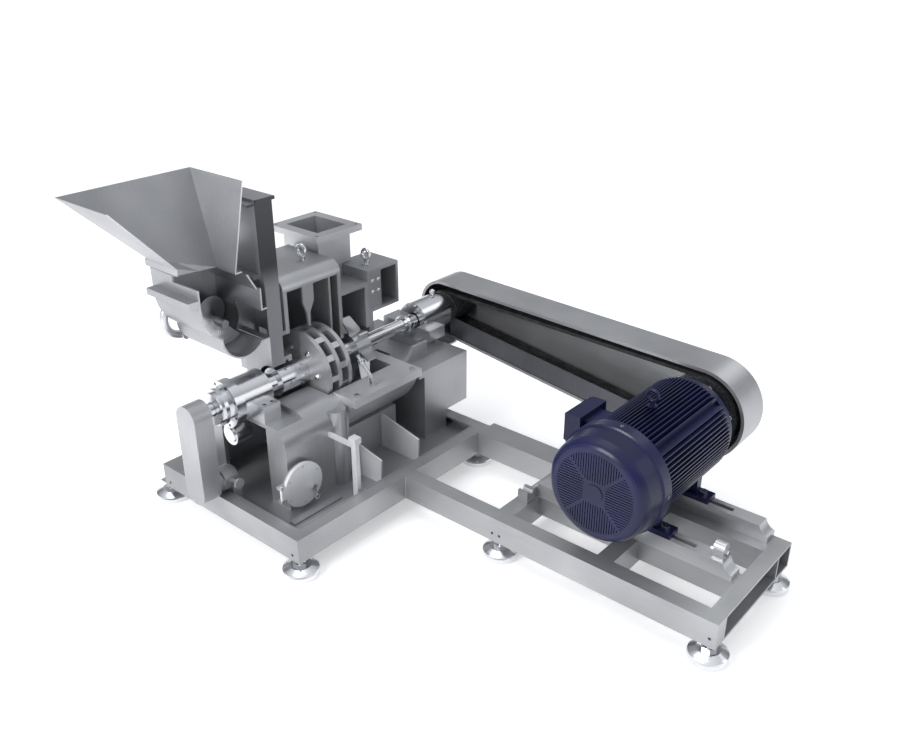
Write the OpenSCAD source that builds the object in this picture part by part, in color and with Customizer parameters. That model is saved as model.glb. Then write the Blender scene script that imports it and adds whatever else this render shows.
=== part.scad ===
// Impact pulverizer on a welded base, shown with its upper casings, feeder and hopper cut open.
// Millimetres, +Z up, floor at z = 0. Shafts run along Y, the mill stands at -X, the motor at +X.

/* [Base frames] */
// Length of the mill base along X
mill_base_l = 1001; // [960:1:1100]
// Width of the mill base along Y
mill_base_w = 1353; // [1320:1:1400]
// Length of the motor base along X
motor_base_l = 1650; // [1620:1:1800]
// Height of the beams
beam_h = 125; // [110:1:140]
// Width of the beam flanges
beam_w = 64; // [56:1:70]
// Clear height of the beams over the floor
leg_h = 90; // [70:1:120]
// Diameter of the foot pads
pad_d = 172; // [140:1:190]
// Height of the deck plate over the bottom edge of the beams
deck_rise = 60; // [50:1:70]

/* [Mill] */
// Height of the main shaft over the floor
shaft_z = 652; // [645:1:660]
// Radius of the bearing journals of the main shaft
journal_r = 40; // [36:1:44]
// Radius of the rotor discs
rotor_r = 205; // [180:1:208]
// Radius of the bearing housings
housing_r = 100; // [96:1:104]
// Outer radius of the bearing rings
ring_r = 72; // [66:1:78]
// Number of impact hammers in each stage
hammer_count = 12; // [6:1:16]
// Number of fan blades
blade_count = 8; // [5:1:10]

/* [Motor] */
// Height of the motor shaft over the motor feet
motor_h = 250; // [240:1:255]
// Place of the motor shaft along X
motor_x = 1031; // [1010:1:1050]
// Largest radius of the motor fan cover
cover_r = 255; // [245:1:258]
// Radius of the motor shaft end
motor_shaft_r = 32.5; // [28:0.5:38]

/* [Belt drive] */
// Number of V belts
belt_count = 8; // [4:1:8]
// Outer radius of the mill pulley
mill_pulley_r = 95; // [85:1:105]
// Outer radius of the motor pulley
motor_pulley_r = 187; // [170:1:195]
// Depth of the belt guard along Y
guard_depth = 205; // [198:1:215]

/* [Feeder] */
// Radius of the upper trough
trough_r = 220; // [210:1:226]
// Radius of the screw trough
screw_trough_r = 125; // [115:1:130]
// Radius of the feed screw
screw_r = 108; // [95:1:110]
// Height of the hopper rim over the floor
hopper_z = 1650; // [1600:1:1750]
// Width of the hopper rim along Y
hopper_w = 653; // [640:1:665]

/* [Hidden] */
$fn = 64;
cut = 1;                      // how far a cutting body reaches past a face
running_gap = 0.05;           // radial clearance of a running fit
nest_gap = 0.3;               // clearance between curved faces that don't carry
run_in = 0.1;                 // depth at which a belt's or guard's straight runs meet its bends
sheet = 4;                    // thickness of sheet covers
plate = 10;                   // thickness of welded plates
deck_t = 12;                  // thickness of the deck plate

frame_z = leg_h;
frame_top = leg_h + beam_h;
deck_z = leg_h + deck_rise;

// Feet stand under the corners and at the middle of the long beams.
foot_in = 42;
far_foot_in = 67;
left_foot_out = 12;
pad_h = 52;
stud_r = 14;
collar_r = 34;
motor_front_y = 692;
motor_rear_y = 1390;
near_beam_w = 78;
far_beam_w = 138;
cross_1_x = 519;
cross_2_x = 1050;
cross_w = 80;
foot_places = [
    [-mill_base_l - left_foot_out, foot_in],
    [-foot_in, foot_in],
    [-mill_base_l - left_foot_out, mill_base_w - foot_in],
    [-foot_in - plate, mill_base_w - foot_in],
    [cross_1_x + cross_w / 2, motor_front_y + foot_in],
    [motor_base_l - foot_in, motor_front_y + foot_in],
    [cross_1_x + cross_w / 2, motor_rear_y - far_foot_in],
    [motor_base_l - foot_in, motor_rear_y - far_foot_in]
];

// The main shaft lies in the middle of the mill base.
shaft_x = -580;
section_x = shaft_x + 20;
neck_r = 36;
seat_r = 50;
pulley_seat_r = 32;
end_seat_r = 24;
take_off_y0 = -90;
shaft_y1 = 1806;

// Bearings at the feed end and at the drive end.
feed_bearing_y0 = 150;
feed_bearing_y1 = 320;
drive_bearing_y0 = 1395;
drive_bearing_y1 = 1600;
wing_half = 172;
wing_h = 87;
wing_y0 = 199;
wing_y1 = 296;
flange_r = housing_r + 15;
stand_top = shaft_z - wing_h;
bearing_ring_w = 60;

// The feed end stand is a tunnel of plate with rounded shoulders.
stand_half = 304;
stand_y0 = 199;
stand_y1 = 595;
shoulder_r = 120;
stand_wall = 20;
rotor_gap = 10;
bore_r = rotor_r + rotor_gap;
sleeve_r = 72;

// The lower casing is a half drum under a joint flange, level with the stand's crown.
joint_z = 590;
joint_t = 40;
joint_half = 357;
casing_y0 = 595;
casing_y1 = 1068;
drum_r = 345;
casing_wall = 22;

// Rotor stages between the casing walls.
disc_t = 22;
disc_pitch = 65;
disc_count = 3;
disc_y0 = 575;
spacer_r = 82;
hammer_w = 30;
hammer_in_r = rotor_r - 56;
hammer_out_r = rotor_r - 4;
fan_y0 = 895;
fan_y1 = 990;
fan_hub_r = 80;
blade_t = 8;

// Upper casings, cut at the section plane.
lid_z = 1150;
lid_y0 = 488;
lid_y1 = 854;
lid_back_x = -940;
lid_edge_r = 60;
fan_casing_top = 985;
box_x0 = -780;
box_y0 = 1038;
box_y1 = 1263;
box_top = 1042;
box_bottom = 812;
partition_y = 632;

// Outlet duct behind the section plane.
duct_x0 = -1044;
duct_x1 = -693;
duct_y0 = 832;
duct_y1 = 1144;
duct_top = 1240;
duct_flange_t = 32;
duct_neck = 46;

// Feeder trough, feed screw and hopper.
trough_x0 = -900;
trough_y = 250;
trough_z = 1150;
screw_z = 970;
trough_top = 1263;
trough_wall = 8;
trough_far_y = 365;
spout_half = 80;
rim_x0 = -937;
rim_y0 = -328;
rim_y1 = rim_y0 + hopper_w;
throat_x0 = -694;
throat_y0 = -58;
throat_y1 = 239;
throat_near_z = 1354;
throat_far_z = 1254;
throat_near_x = rim_x0 + (throat_x0 - rim_x0) * (hopper_z - throat_near_z) / (hopper_z - throat_far_z);
chute_y0 = 389;
chute_y1 = 470;
chute_x0 = -760;
chute_top = 1541;
chute_bottom = joint_z;
mouth_z0 = 770;
mouth_z1 = 880;

// Drive end pedestal.
pedestal_half = 330;
pedestal_y0 = 1117;
pedestal_y1 = 1459;
pedestal_top = 512;
slab_t = 34;
pedestal_rear_z = 255;

// Belt drive and its guard.
motor_z = frame_top + 70 + motor_h;
rail_top = frame_top + 70;
guard_y0 = 1635;
guard_y1 = guard_y0 + guard_depth;
guard_mill_r = 157;
guard_motor_r = 235;
guard_lip = 16;
belt_pitch = 19;
belt_w = 12;
belt_t = 13;
groove_w = 15;
groove_d = 15;
pulley_l = belt_count * belt_pitch + 8;
pulley_y0 = 1650;

// Motor.
face_y = 733;
face_r = 195;
cover_y1 = 905;
frame_y1 = 1530;
core_r = 206;
fin_r = 232;
fin_t = 6;
fin_pitch = 18;
shield_y1 = 1562;
foot_y = [1006, 1355];
foot_half = 245;
box_mid_y = 1077;
foot_slot_x = 203;
foot_w = 74;
foot_t = 26;

// Slide rails.
rail_x0 = 560;
rail_x1 = 1567;
rail_w = 75;
set_screw_z = 96;

// Take-off drive on the feed end.
cover_half = 68;
cover_y0 = -103;
cover_y1_box = -6;
cover_low_z = 278;
take_off_r = 48;
take_off_w = 40;
take_off_y = -72;
take_off_belt_t = 8;

// Clean-out port on the feed end stand.
port_y = 254;
port_z = 288;
port_r = 112;
port_neck_r = 90;
port_face_x = shaft_x + stand_half + 44;
port_t = 16;
port_rim_t = 12;
port_hinge_y = port_y - port_r - 16;
port_pin_r = 6;
clamp_pin_r = 9;
clamp_y = port_y + 50;
clamp_z = port_z - 34;
clamp_l = 60;
clamp_ring_r = 14;
clamp_lean = 14;

// Swing bolt on the joint flange.
swing_x = -289;
swing_y = 785;
swing_z = joint_z + 22;
swing_lean = 30;
swing_pin_r = 6;

// Origin: middle of the footprint, on the floor.
min_x = -mill_base_l - left_foot_out - pad_d / 2;
max_x = motor_base_l - foot_in + pad_d / 2;
mid_x = (min_x + max_x) / 2;
mid_y = (rim_y0 + guard_y1) / 2;

module place() {
    translate([-mid_x, -mid_y, 0]) children();
}

module block(x0, x1, y0, y1, z0, z1) {
    translate([x0, y0, z0]) cube([x1 - x0, y1 - y0, z1 - z0]);
}

module bar_x(x0, x1, y, z, r) {
    translate([x0, y, z]) rotate([0, 90, 0]) cylinder(h = x1 - x0, r = r);
}

module bar_y(x, z, y0, y1, r) {
    translate([x, y0, z]) rotate([-90, 0, 0]) cylinder(h = y1 - y0, r = r);
}

module pipe_y(x, z, y0, y1, r, bore) {
    difference() {
        bar_y(x, z, y0, y1, r);
        bar_y(x, z, y0 - cut, y1 + cut, bore);
    }
}

// Turned body on the main shaft line: the profile holds [radius, y] points.
module turned(profile, x = shaft_x, z = shaft_z) {
    translate([x, 0, z]) rotate([-90, 0, 0]) rotate_extrude($fn = 96) polygon(profile);
}

// Flat shape in the XZ plane, drawn with y up as z, and pulled along Y.
module pulled_y(y0, y1) {
    translate([0, y1, 0]) rotate([90, 0, 0]) linear_extrude(y1 - y0) children();
}

// Flat shape in the YZ plane, pulled along X.
module pulled_x(x0, x1) {
    translate([x0, 0, 0]) rotate([90, 0, 90]) linear_extrude(x1 - x0) children();
}

// Outline of a belt round two wheels.
module belt_outline(c0, r0, c1, r1) {
    step = c1 - c0;
    reach = norm(step);
    lean = atan2(step[1], step[0]);
    spread = acos((r0 - r1) / reach);
    up = [cos(lean + spread), sin(lean + spread)];
    down = [cos(lean - spread), sin(lean - spread)];
    near = r0 - run_in;
    far = r1 - run_in;
    translate(c0) circle(r0, $fn = 96);
    translate(c1) circle(r1, $fn = 96);
    polygon([c0 + near * up, c1 + far * up, c1 + far * down, c0 + near * down]);
}

module hex_bolt(r, shank) {
    head_h = 1.4 * r;
    head_r = 1.8 * r;
    cylinder(h = head_h, r = head_r, $fn = 6);
    translate([0, 0, -shank]) cylinder(h = shank, r = r);
}

// Ring of holes or bolts about the Y axis through [x, z].
module round_y(x, z, count, pitch_r, start = 0) {
    for (i = [0 : count - 1]) {
        turn = start + 360 * i / count;
        translate([x + pitch_r * cos(turn), 0, z + pitch_r * sin(turn)]) children();
    }
}

// Base frames

module mill_base_frame() {
    color("silver") difference() {
        block(-mill_base_l, 0, 0, mill_base_w, frame_z, frame_top);
        block(-mill_base_l + beam_w, -beam_w, beam_w, mill_base_w - beam_w,
              frame_z - cut, frame_top + cut);
        block(-mill_base_l + plate, -plate, plate, mill_base_w - plate,
              frame_z + plate, frame_top - plate);
        for (x = [-mill_base_l + foot_in, -foot_in], y = [-cut, mill_base_w - plate - cut])
            bar_y(x, frame_z + beam_h / 4, y, y + plate + 2 * cut, 7);
    }
    color("silver") for (x = [-beam_w - 8, -mill_base_l + beam_w])
        block(x, x + 8, beam_w, mill_base_w - beam_w, frame_top - 24, frame_top + 2);
}

module mill_deck() {
    drain_in = 100;
    sill_w = 36;
    color("gray") difference() {
        block(-mill_base_l + plate, -plate, plate, mill_base_w - plate,
              deck_z - deck_t, deck_z);
        for (x = [-mill_base_l + drain_in, -drain_in], y = [drain_in, mill_base_w - drain_in])
            translate([x, y, deck_z - deck_t - cut]) cylinder(h = deck_t + 2 * cut, r = 12);
    }
    // Sill beside the stand.
    color("gray") block(-205, -205 + sill_w, 130, 425, deck_z - cut, deck_z + 10);
}

module motor_base_frame() {
    y0 = motor_front_y;
    y1 = motor_rear_y;
    end_x = motor_base_l - 70;
    color("silver") {
        difference() {
            block(0, motor_base_l, y0, y0 + near_beam_w, frame_z, frame_top);
            block(-cut, motor_base_l - plate, y0 + plate, y0 + near_beam_w + cut,
                  frame_z + plate, frame_top - plate);
            for (x = [cross_1_x + 20, cross_1_x + 60, motor_base_l - 28])
                bar_y(x, frame_z + beam_h / 3, y0 - cut, y0 + plate + cut, 7);
        }
        difference() {
            block(0, motor_base_l, y1 - far_beam_w, y1, frame_z, frame_top);
            block(-cut, motor_base_l + cut, y1 - far_beam_w + plate, y1 - plate,
                  frame_z + plate, frame_top - plate);
        }
        for (x = [cross_1_x, cross_2_x])
            block(x, x + cross_w, y0 + near_beam_w, y1 - far_beam_w, frame_z, frame_top);
        difference() {
            block(end_x, motor_base_l, y0 + near_beam_w, y1 - far_beam_w, frame_z, frame_top);
            block(end_x + plate, motor_base_l + cut, y0 + near_beam_w - cut,
                  y1 - far_beam_w + cut, frame_z + plate, frame_top - plate);
        }
        block(cross_1_x + cross_w, cross_2_x, 981, 1045, frame_z + 20, frame_top);
        block(cross_2_x + cross_w, end_x, 981, 1045, frame_z + 20, frame_top);
    }
    // Notched stop on the first cross member.
    color("silver") difference() {
        block(cross_1_x + 22, cross_1_x + 76, 880, 940, frame_top, frame_top + 62);
        bar_x(cross_1_x + 21, cross_1_x + 77, 910, frame_top + 62, 16);
    }
}

module foot_pads() {
    rim_r = pad_d / 2;
    color("lightgray") for (p = foot_places) translate([p[0], p[1], 0])
        rotate_extrude($fn = 64) polygon([
            [0, 0], [rim_r - 8, 0], [rim_r - 2, 4], [rim_r, 10], [rim_r, 28],
            [rim_r - 3, 35], [rim_r - 12, 40], [rim_r - 36, pad_h], [0, pad_h]
        ]);
}

module foot_studs() {
    color("lightgray") for (p = foot_places) translate([p[0], p[1], pad_h]) {
        cylinder(h = 14, r = collar_r, $fn = 6);
        cylinder(h = leg_h - pad_h, r = stud_r);
        translate([0, 0, leg_h - pad_h - 12]) cylinder(h = 12, r = collar_r, $fn = 6);
    }
    // Angle plates that carry the two feet outside the left beam.
    color("silver") for (y = [foot_in, mill_base_w - foot_in])
        block(-mill_base_l - left_foot_out - 40, -mill_base_l, y - 40, y + 40,
              leg_h, leg_h + plate);
}

// Slide rail under two of the motor's feet.
module slide_rail(y, post) {
    half = rail_w / 2;
    slot_in = 40;
    post_z = 118;
    difference() {
        union() {
            block(rail_x0, rail_x1, y - half, y + half, frame_top, rail_top);
            if (post) pulled_x(rail_x1 - 100, rail_x1 - 52) {
                translate([y - 26, frame_top]) square([52, post_z]);
                translate([y, frame_top + post_z]) circle(26);
            }
        }
        for (x = [motor_x - foot_slot_x, motor_x + foot_slot_x]) {
            block(x - 70, x + 150, y - 12, y + 12, rail_top - slot_in, rail_top + cut);
            block(x - 70, x + 150, y - 21, y + 21, rail_top - slot_in, rail_top - 14);
        }
        translate([rail_x1 + 10, 0, rail_top + 10]) rotate([-90, 0, 0])
            translate([0, 0, y - half - cut]) cylinder(h = rail_w + 2 * cut, r = 55);
        translate([rail_x0 - 10, 0, rail_top + 10]) rotate([-90, 0, 0])
            translate([0, 0, y - half - cut]) cylinder(h = rail_w + 2 * cut, r = 45);
        if (post) bar_x(rail_x1 - 101, rail_x1 - 51, y, frame_top + set_screw_z, 9);
    }
}

module front_slide_rail() {
    color("gainsboro") slide_rail(foot_y[0], true);
}

module rear_slide_rail() {
    color("gainsboro") slide_rail(foot_y[1], false);
}

// Set screw in the post of the front rail.
module rail_adjusting_bolts() {
    head_x = rail_x1 - 52;
    color("silver") {
        bar_x(head_x - 66, head_x, foot_y[0], frame_top + set_screw_z, 9);
        translate([head_x, foot_y[0], frame_top + set_screw_z]) rotate([0, 90, 0])
            cylinder(h = 12, r = 16, $fn = 6);
    }
}

// Motor

module motor_fin(lean) {
    reach = 150;
    for (offset = [-reach : fin_pitch : reach]) {
        tip = sqrt(fin_r * fin_r - offset * offset);
        root = sqrt(core_r * core_r - offset * offset) - 8;
        rotate([0, lean, 0]) block(offset - fin_t / 2, offset + fin_t / 2,
                                   cover_y1 + 4, frame_y1 - 30, root, tip);
    }
}

module motor_frame() {
    bearing_wall = 20;
    color("midnightblue") {
        translate([motor_x, 0, motor_z]) {
            difference() {
                union() {
                    bar_y(0, 0, cover_y1, frame_y1, core_r);
                    motor_fin(0);
                    motor_fin(90);
                    motor_fin(-90);
                    bar_y(0, 0, frame_y1 - 26, frame_y1, core_r + 16);
                    block(-fin_r - 4, -150, box_mid_y - 70, box_mid_y + 70, 50, 145);
                    bar_y(0, 0, cover_y1 - 24, cover_y1 + 16, cover_r - sheet - nest_gap);
                }
                bar_y(0, 0, cover_y1 + bearing_wall, frame_y1 + cut, core_r - 30);
                bar_y(0, 0, cover_y1 - 30, frame_y1, motor_shaft_r + 12 + running_gap);
                for (x = [-1, 1], y = foot_y)
                    translate([x * foot_slot_x, y, -motor_h - cut])
                        cylinder(h = foot_t + 2 * cut, r = 12);
            }
        }
        difference() {
            for (side = [-1, 1], y = foot_y) {
                block(min(motor_x + side * 95, motor_x + side * foot_half),
                      max(motor_x + side * 95, motor_x + side * foot_half),
                      y - foot_w / 2, y + foot_w / 2, rail_top, rail_top + foot_t);
                block(min(motor_x + side * 100, motor_x + side * 178),
                      max(motor_x + side * 100, motor_x + side * 178),
                      y - 20, y + 20, rail_top + foot_t, motor_z - 100);
            }
            for (x = [-1, 1], y = foot_y)
                translate([motor_x + x * foot_slot_x, y, rail_top - cut])
                    cylinder(h = foot_t + 2 * cut, r = 12);
            bar_y(motor_x, motor_z, face_y, frame_y1, core_r - 20);
        }
    }
}

// Half profile of the fan cover: flat face, rounded shoulder and a slightly conical skirt.
function cover_profile(inset) = concat(
    [[0, face_y + inset], [face_r, face_y + inset]],
    [for (a = [15 : 15 : 90]) [
        face_r + (240 - inset - face_r) * sin(a),
        face_y + inset + (60 - inset) * (1 - cos(a))
    ]],
    [[cover_r - 8 - inset, cover_y1 - 45], [cover_r - inset, cover_y1 - 40],
     [cover_r - inset, cover_y1 + 16], [0, cover_y1 + 16]]
);

module motor_fan_cover() {
    slot_pitch = 12;
    slot_w = 4;
    slots_each_side = 10;
    boss_r = 40;
    color("midnightblue") {
        difference() {
            turned(cover_profile(0), motor_x, motor_z);
            turned([for (p = cover_profile(sheet)) [p[0], min(p[1], cover_y1 + 16 + cut)]],
                   motor_x, motor_z);
            bar_y(motor_x, motor_z, cover_y1, cover_y1 + 20, cover_r - sheet);
            translate([motor_x, 0, motor_z]) for (quarter = [0 : 90 : 270])
                rotate([0, quarter, 0]) for (i = [-slots_each_side : slots_each_side])
                    block(i * slot_pitch - slot_w / 2, i * slot_pitch + slot_w / 2, face_y - cut,
                          face_y + sheet + cut, max(boss_r + 14, abs(i) * slot_pitch + 9),
                          sqrt(pow(face_r - 10, 2) - pow(i * slot_pitch, 2)));
        }
        bar_y(motor_x, motor_z, face_y - 3, face_y + cut, boss_r);
    }
}

module motor_end_shield() {
    color("midnightblue") difference() {
        turned([[motor_shaft_r + 12 + running_gap, frame_y1], [core_r + 12, frame_y1],
                [core_r + 12, frame_y1 + 14], [core_r - 10, frame_y1 + 20],
                [120, shield_y1 - 8], [82, shield_y1], [motor_shaft_r + 12 + running_gap, shield_y1]],
               motor_x, motor_z);
        round_y(motor_x, motor_z, 8, core_r + 1, 22.5) bar_y(0, 0, frame_y1 - cut, frame_y1 + 16, 6);
    }
}

module motor_terminal_box() {
    x1 = motor_x - fin_r - 4;
    half = 106;
    low = motor_z + 26;
    high = motor_z + 170;
    lid_t = 14;
    lid_in = 5;
    box_l = 70;
    color("midnightblue") {
        block(x1 - box_l, x1, box_mid_y - half, box_mid_y + half, low, high);
        block(x1 - box_l - lid_t, x1 - box_l, box_mid_y - half + lid_in, box_mid_y + half - lid_in,
              low + lid_in, high - lid_in);
    }
}

module eye(ring, wire) {
    cylinder(h = 6, r = ring * 0.8);
    cylinder(h = ring * 0.7, r = wire * 1.1);
    translate([0, 0, ring * 0.7 + ring]) rotate([90, 0, 0])
        rotate_extrude($fn = 48) translate([ring - wire / 2, 0]) circle(wire * 0.75, $fn = 24);
}

module motor_lifting_eye() {
    color("midnightblue") translate([motor_x, 1165, motor_z + fin_r]) eye(30, 10);
}

module motor_shaft() {
    body_r = motor_shaft_r + 12;
    color("silver") turned([
        [0, 770], [20, 770], [20, 850], [body_r, 850], [body_r, shield_y1],
        [motor_shaft_r, shield_y1], [motor_shaft_r, pulley_y0 + pulley_l - 6],
        [0, pulley_y0 + pulley_l - 6]
    ], motor_x, motor_z);
}

module motor_rotor_core() {
    end_gap = 100;
    color("dimgray") pipe_y(motor_x, motor_z, cover_y1 + end_gap, frame_y1 - end_gap, core_r - 60,
                            motor_shaft_r + 12);
}

module motor_cooling_fan() {
    vane_count = 7;
    fan_r = cover_r - 58;
    hub_y0 = cover_y1 - 130;
    hub_y1 = hub_y0 + 70;
    color("dimgray") difference() {
        union() {
            bar_y(motor_x, motor_z, hub_y0, hub_y1, 45);
            bar_y(motor_x, motor_z, hub_y1 - 10, hub_y1 - 4, fan_r);
            translate([motor_x, 0, motor_z]) for (i = [0 : vane_count - 1])
                rotate([0, i * 360 / vane_count, 0])
                    block(-3, 3, hub_y0 + 3, hub_y1 - 9, 40, fan_r - 5);
        }
        bar_y(motor_x, motor_z, hub_y0 - cut, hub_y1 + cut, 20);
    }
}

module motor_foot_bolts() {
    color("silver") for (side = [-1, 1], y = foot_y)
        translate([motor_x + side * foot_slot_x, y, rail_top + foot_t])
            hex_bolt(11, foot_t + 20);
}

// Belt drive

function pulley_profile(r, bore) = concat(
    [[bore, pulley_y0], [r, pulley_y0]],
    [for (i = [0 : belt_count - 1], p = [
        [r, -groove_w / 2 - 1], [r - groove_d, -groove_w / 2 + 0.5],
        [r - groove_d, groove_w / 2 - 0.5], [r, groove_w / 2 + 1]
    ]) [p[0], pulley_y0 + 4 + belt_pitch * (i + 0.5) + p[1]]],
    [[r, pulley_y0 + pulley_l], [bore, pulley_y0 + pulley_l]]
);

module mill_pulley() {
    color("gray") turned(pulley_profile(mill_pulley_r, pulley_seat_r));
}

module motor_pulley() {
    color("gray") difference() {
        turned(pulley_profile(motor_pulley_r, motor_shaft_r), motor_x, motor_z);
        pipe_y(motor_x, motor_z, pulley_y0 - cut, pulley_y0 + 45, motor_pulley_r - 34, 70);
        pipe_y(motor_x, motor_z, pulley_y0 + pulley_l - 45, pulley_y0 + pulley_l + cut,
               motor_pulley_r - 34, 70);
    }
}

// V belts joined by one tie band on their backs.
module v_belts() {
    low = groove_d - nest_gap;
    mill_low = mill_pulley_r - low;
    motor_low = motor_pulley_r - low;
    tie_t = 3;
    y_first = pulley_y0 + 4 + belt_pitch / 2 - belt_w / 2;
    y_last = y_first + (belt_count - 1) * belt_pitch + belt_w;
    color("#26262a") {
        for (i = [0 : belt_count - 1])
            pulled_y(y_first + i * belt_pitch, y_first + i * belt_pitch + belt_w) difference() {
                belt_ring(mill_low, motor_low, belt_t + tie_t);
                belt_ring(mill_low, motor_low, 0);
            }
        pulled_y(y_first, y_last) difference() {
            belt_ring(mill_low, motor_low, belt_t + 2 * tie_t);
            belt_ring(mill_low, motor_low, low + nest_gap);
        }
    }
}

module belt_ring(mill_r, motor_r, out) {
    belt_outline([shaft_x, shaft_z], mill_r + out, [motor_x, motor_z], motor_r + out);
}

module guard_outline(inset = 0) {
    belt_outline([shaft_x, shaft_z], guard_mill_r - inset,
                 [motor_x, motor_z], guard_motor_r - inset);
}

module guard_shell() {
    color("silver") {
        pulled_y(guard_y0, guard_y1 - sheet) difference() {
            guard_outline();
            guard_outline(sheet);
        }
        pulled_y(guard_y0, guard_y0 + sheet) difference() {
            guard_outline(sheet);
            guard_outline(guard_lip);
        }
        pulled_y(guard_y1 - sheet, guard_y1) guard_outline();
    }
}

// Height of the guard's lower edge at x, on the line that touches both round ends.
function guard_low(x) =
    let (step = [motor_x - shaft_x, motor_z - shaft_z],
         lean = atan2(step[1], step[0]),
         spread = acos((guard_mill_r - guard_motor_r) / norm(step)),
         touch = [shaft_x, shaft_z] + guard_mill_r * [cos(lean - spread), sin(lean - spread)])
    touch[1] + (x - touch[0]) * tan(lean - spread + 90);

// Lower part of the guard's front, between the two shafts.
module guard_front_plate() {
    band = 128;
    x0 = shaft_x + 60;
    x1 = motor_x - 130;
    low = sheet + nest_gap;
    color("#3a3a3e") pulled_y(guard_y0 + sheet, guard_y0 + 2 * sheet)
        polygon([[x0, guard_low(x0) + low], [x0, guard_low(x0) + band],
                 [x1, guard_low(x1) + band], [x1, guard_low(x1) + low]]);
}

module guard_brackets() {
    arm_z = 480;
    leg_x = 730;
    color("gray") {
        block(shaft_x - 110, shaft_x + 110, pedestal_y1, guard_y0, arm_z - plate, arm_z);
        block(shaft_x - 110, shaft_x + 110, guard_y0 - plate, guard_y0, arm_z, arm_z + 24);
        block(leg_x - 60, leg_x + 60, motor_rear_y, guard_y0, frame_top - plate, frame_top);
        block(leg_x - 60, leg_x + 60, guard_y0 - plate, guard_y0, frame_top,
              motor_z - guard_motor_r + 44);
    }
}

// Rotor

module main_shaft() {
    color("gainsboro") turned([
        [0, take_off_y0], [end_seat_r, take_off_y0], [end_seat_r, -10],
        [journal_r - 8, -10], [journal_r - 8, feed_bearing_y0 + 20],
        [journal_r, feed_bearing_y0 + 20], [journal_r, feed_bearing_y1 + 20],
        [seat_r, feed_bearing_y1 + 20], [seat_r, fan_y1 + 8],
        [neck_r + 8, fan_y1 + 8], [neck_r + 8, fan_y1 + 26], [neck_r, fan_y1 + 26],
        [neck_r, drive_bearing_y0 - 30], [journal_r, drive_bearing_y0 - 30],
        [journal_r, drive_bearing_y1 - 20], [pulley_seat_r, drive_bearing_y1 - 20],
        [pulley_seat_r, shaft_y1], [0, shaft_y1]
    ]);
}

module rotor_sleeve() {
    color("gainsboro") difference() {
        pipe_y(shaft_x, shaft_z, 404, disc_y0, sleeve_r, seat_r);
        for (y = [450, 520], turn = [0 : 60 : 300])
            translate([shaft_x, y, shaft_z]) rotate([0, turn + y / 3, 0])
                translate([0, 0, sleeve_r - 14]) cylinder(h = 20, r = 8);
    }
}

module rotor_discs() {
    color("dimgray") for (i = [0 : disc_count - 1]) {
        y = disc_y0 + i * disc_pitch;
        difference() {
            bar_y(shaft_x, shaft_z, y, y + disc_t, rotor_r, $fn = 96);
            bar_y(shaft_x, shaft_z, y - cut, y + disc_t + cut, seat_r);
            round_y(shaft_x, shaft_z, 6, 120) bar_y(0, 0, y - cut, y + disc_t + cut, 9);
        }
        if (i < disc_count - 1)
            pipe_y(shaft_x, shaft_z, y + disc_t, y + disc_pitch, spacer_r, seat_r);
    }
}

module impact_hammers() {
    color("lightgray") for (i = [0 : disc_count - 2], k = [0 : hammer_count - 1])
        translate([shaft_x, 0, shaft_z])
            rotate([0, (k + i / 2) * 360 / hammer_count, 0])
                block(-hammer_w / 2, hammer_w / 2, disc_y0 + i * disc_pitch + disc_t,
                      disc_y0 + (i + 1) * disc_pitch, hammer_in_r, hammer_out_r);
}

// Blades lean toward the rotor: each one is a leaning flat plate on the hub.
module fan_wheel() {
    color("gainsboro") {
        pipe_y(shaft_x, shaft_z, fan_y0, fan_y1, fan_hub_r, seat_r);
        translate([shaft_x, 0, shaft_z]) for (k = [0 : blade_count - 1])
            rotate([0, k * 360 / blade_count, 0]) pulled_x(-blade_t / 2, blade_t / 2)
                polygon([[fan_y0 + 10, fan_hub_r - 4], [fan_y1 - 4, fan_hub_r - 4],
                         [fan_y1 - 4, fan_hub_r + 8], [fan_y1 - 74, 182],
                         [fan_y1 - 132, 182], [fan_y0 + 10, fan_hub_r + 2]]);
    }
}

// Bearings

module half_space(above, y0, y1) {
    reach = housing_r + wing_half;
    if (above)
        block(shaft_x - reach, shaft_x + reach, y0, y1, shaft_z, shaft_z + reach);
    else
        block(shaft_x - reach, shaft_x + reach, y0, y1, shaft_z - reach, shaft_z);
}

module bearing_bore(y0, y1) {
    inner = journal_r + 6;
    bar_y(shaft_x, shaft_z, y0 - cut, y1 + cut, inner);
    mid = (y0 + y1) / 2;
    bar_y(shaft_x, shaft_z, mid - bearing_ring_w / 2, mid + bearing_ring_w / 2, ring_r);
}

module bearing_ring(y0, y1) {
    mid = (y0 + y1) / 2;
    pipe_y(shaft_x, shaft_z, mid - bearing_ring_w / 2, mid + bearing_ring_w / 2,
           ring_r, journal_r + running_gap);
}

module feed_bearing_base() {
    color("silver") difference() {
        union() {
            intersection() {
                bar_y(shaft_x, shaft_z, feed_bearing_y0, feed_bearing_y1, housing_r);
                half_space(false, feed_bearing_y0 - cut, feed_bearing_y1 + cut);
            }
            block(shaft_x - wing_half, shaft_x + wing_half, wing_y0, wing_y1, stand_top, shaft_z);
        }
        bearing_bore(feed_bearing_y0, feed_bearing_y1);
        for (side = [-1, 1], y = [wing_y0 + 26, wing_y1 - 26])
            translate([shaft_x + side * (wing_half - 26), y, stand_top - cut])
                cylinder(h = wing_h + 2 * cut, r = 9);
    }
}

module feed_bearing_cap() {
    color("gainsboro") difference() {
        intersection() {
            bar_y(shaft_x, shaft_z, feed_bearing_y0, feed_bearing_y1, housing_r);
            half_space(true, feed_bearing_y0 - cut, feed_bearing_y1 + cut);
        }
        bearing_bore(feed_bearing_y0, feed_bearing_y1);
    }
}

module feed_bearing_ring() {
    color("lightgray") bearing_ring(feed_bearing_y0, feed_bearing_y1);
}

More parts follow.
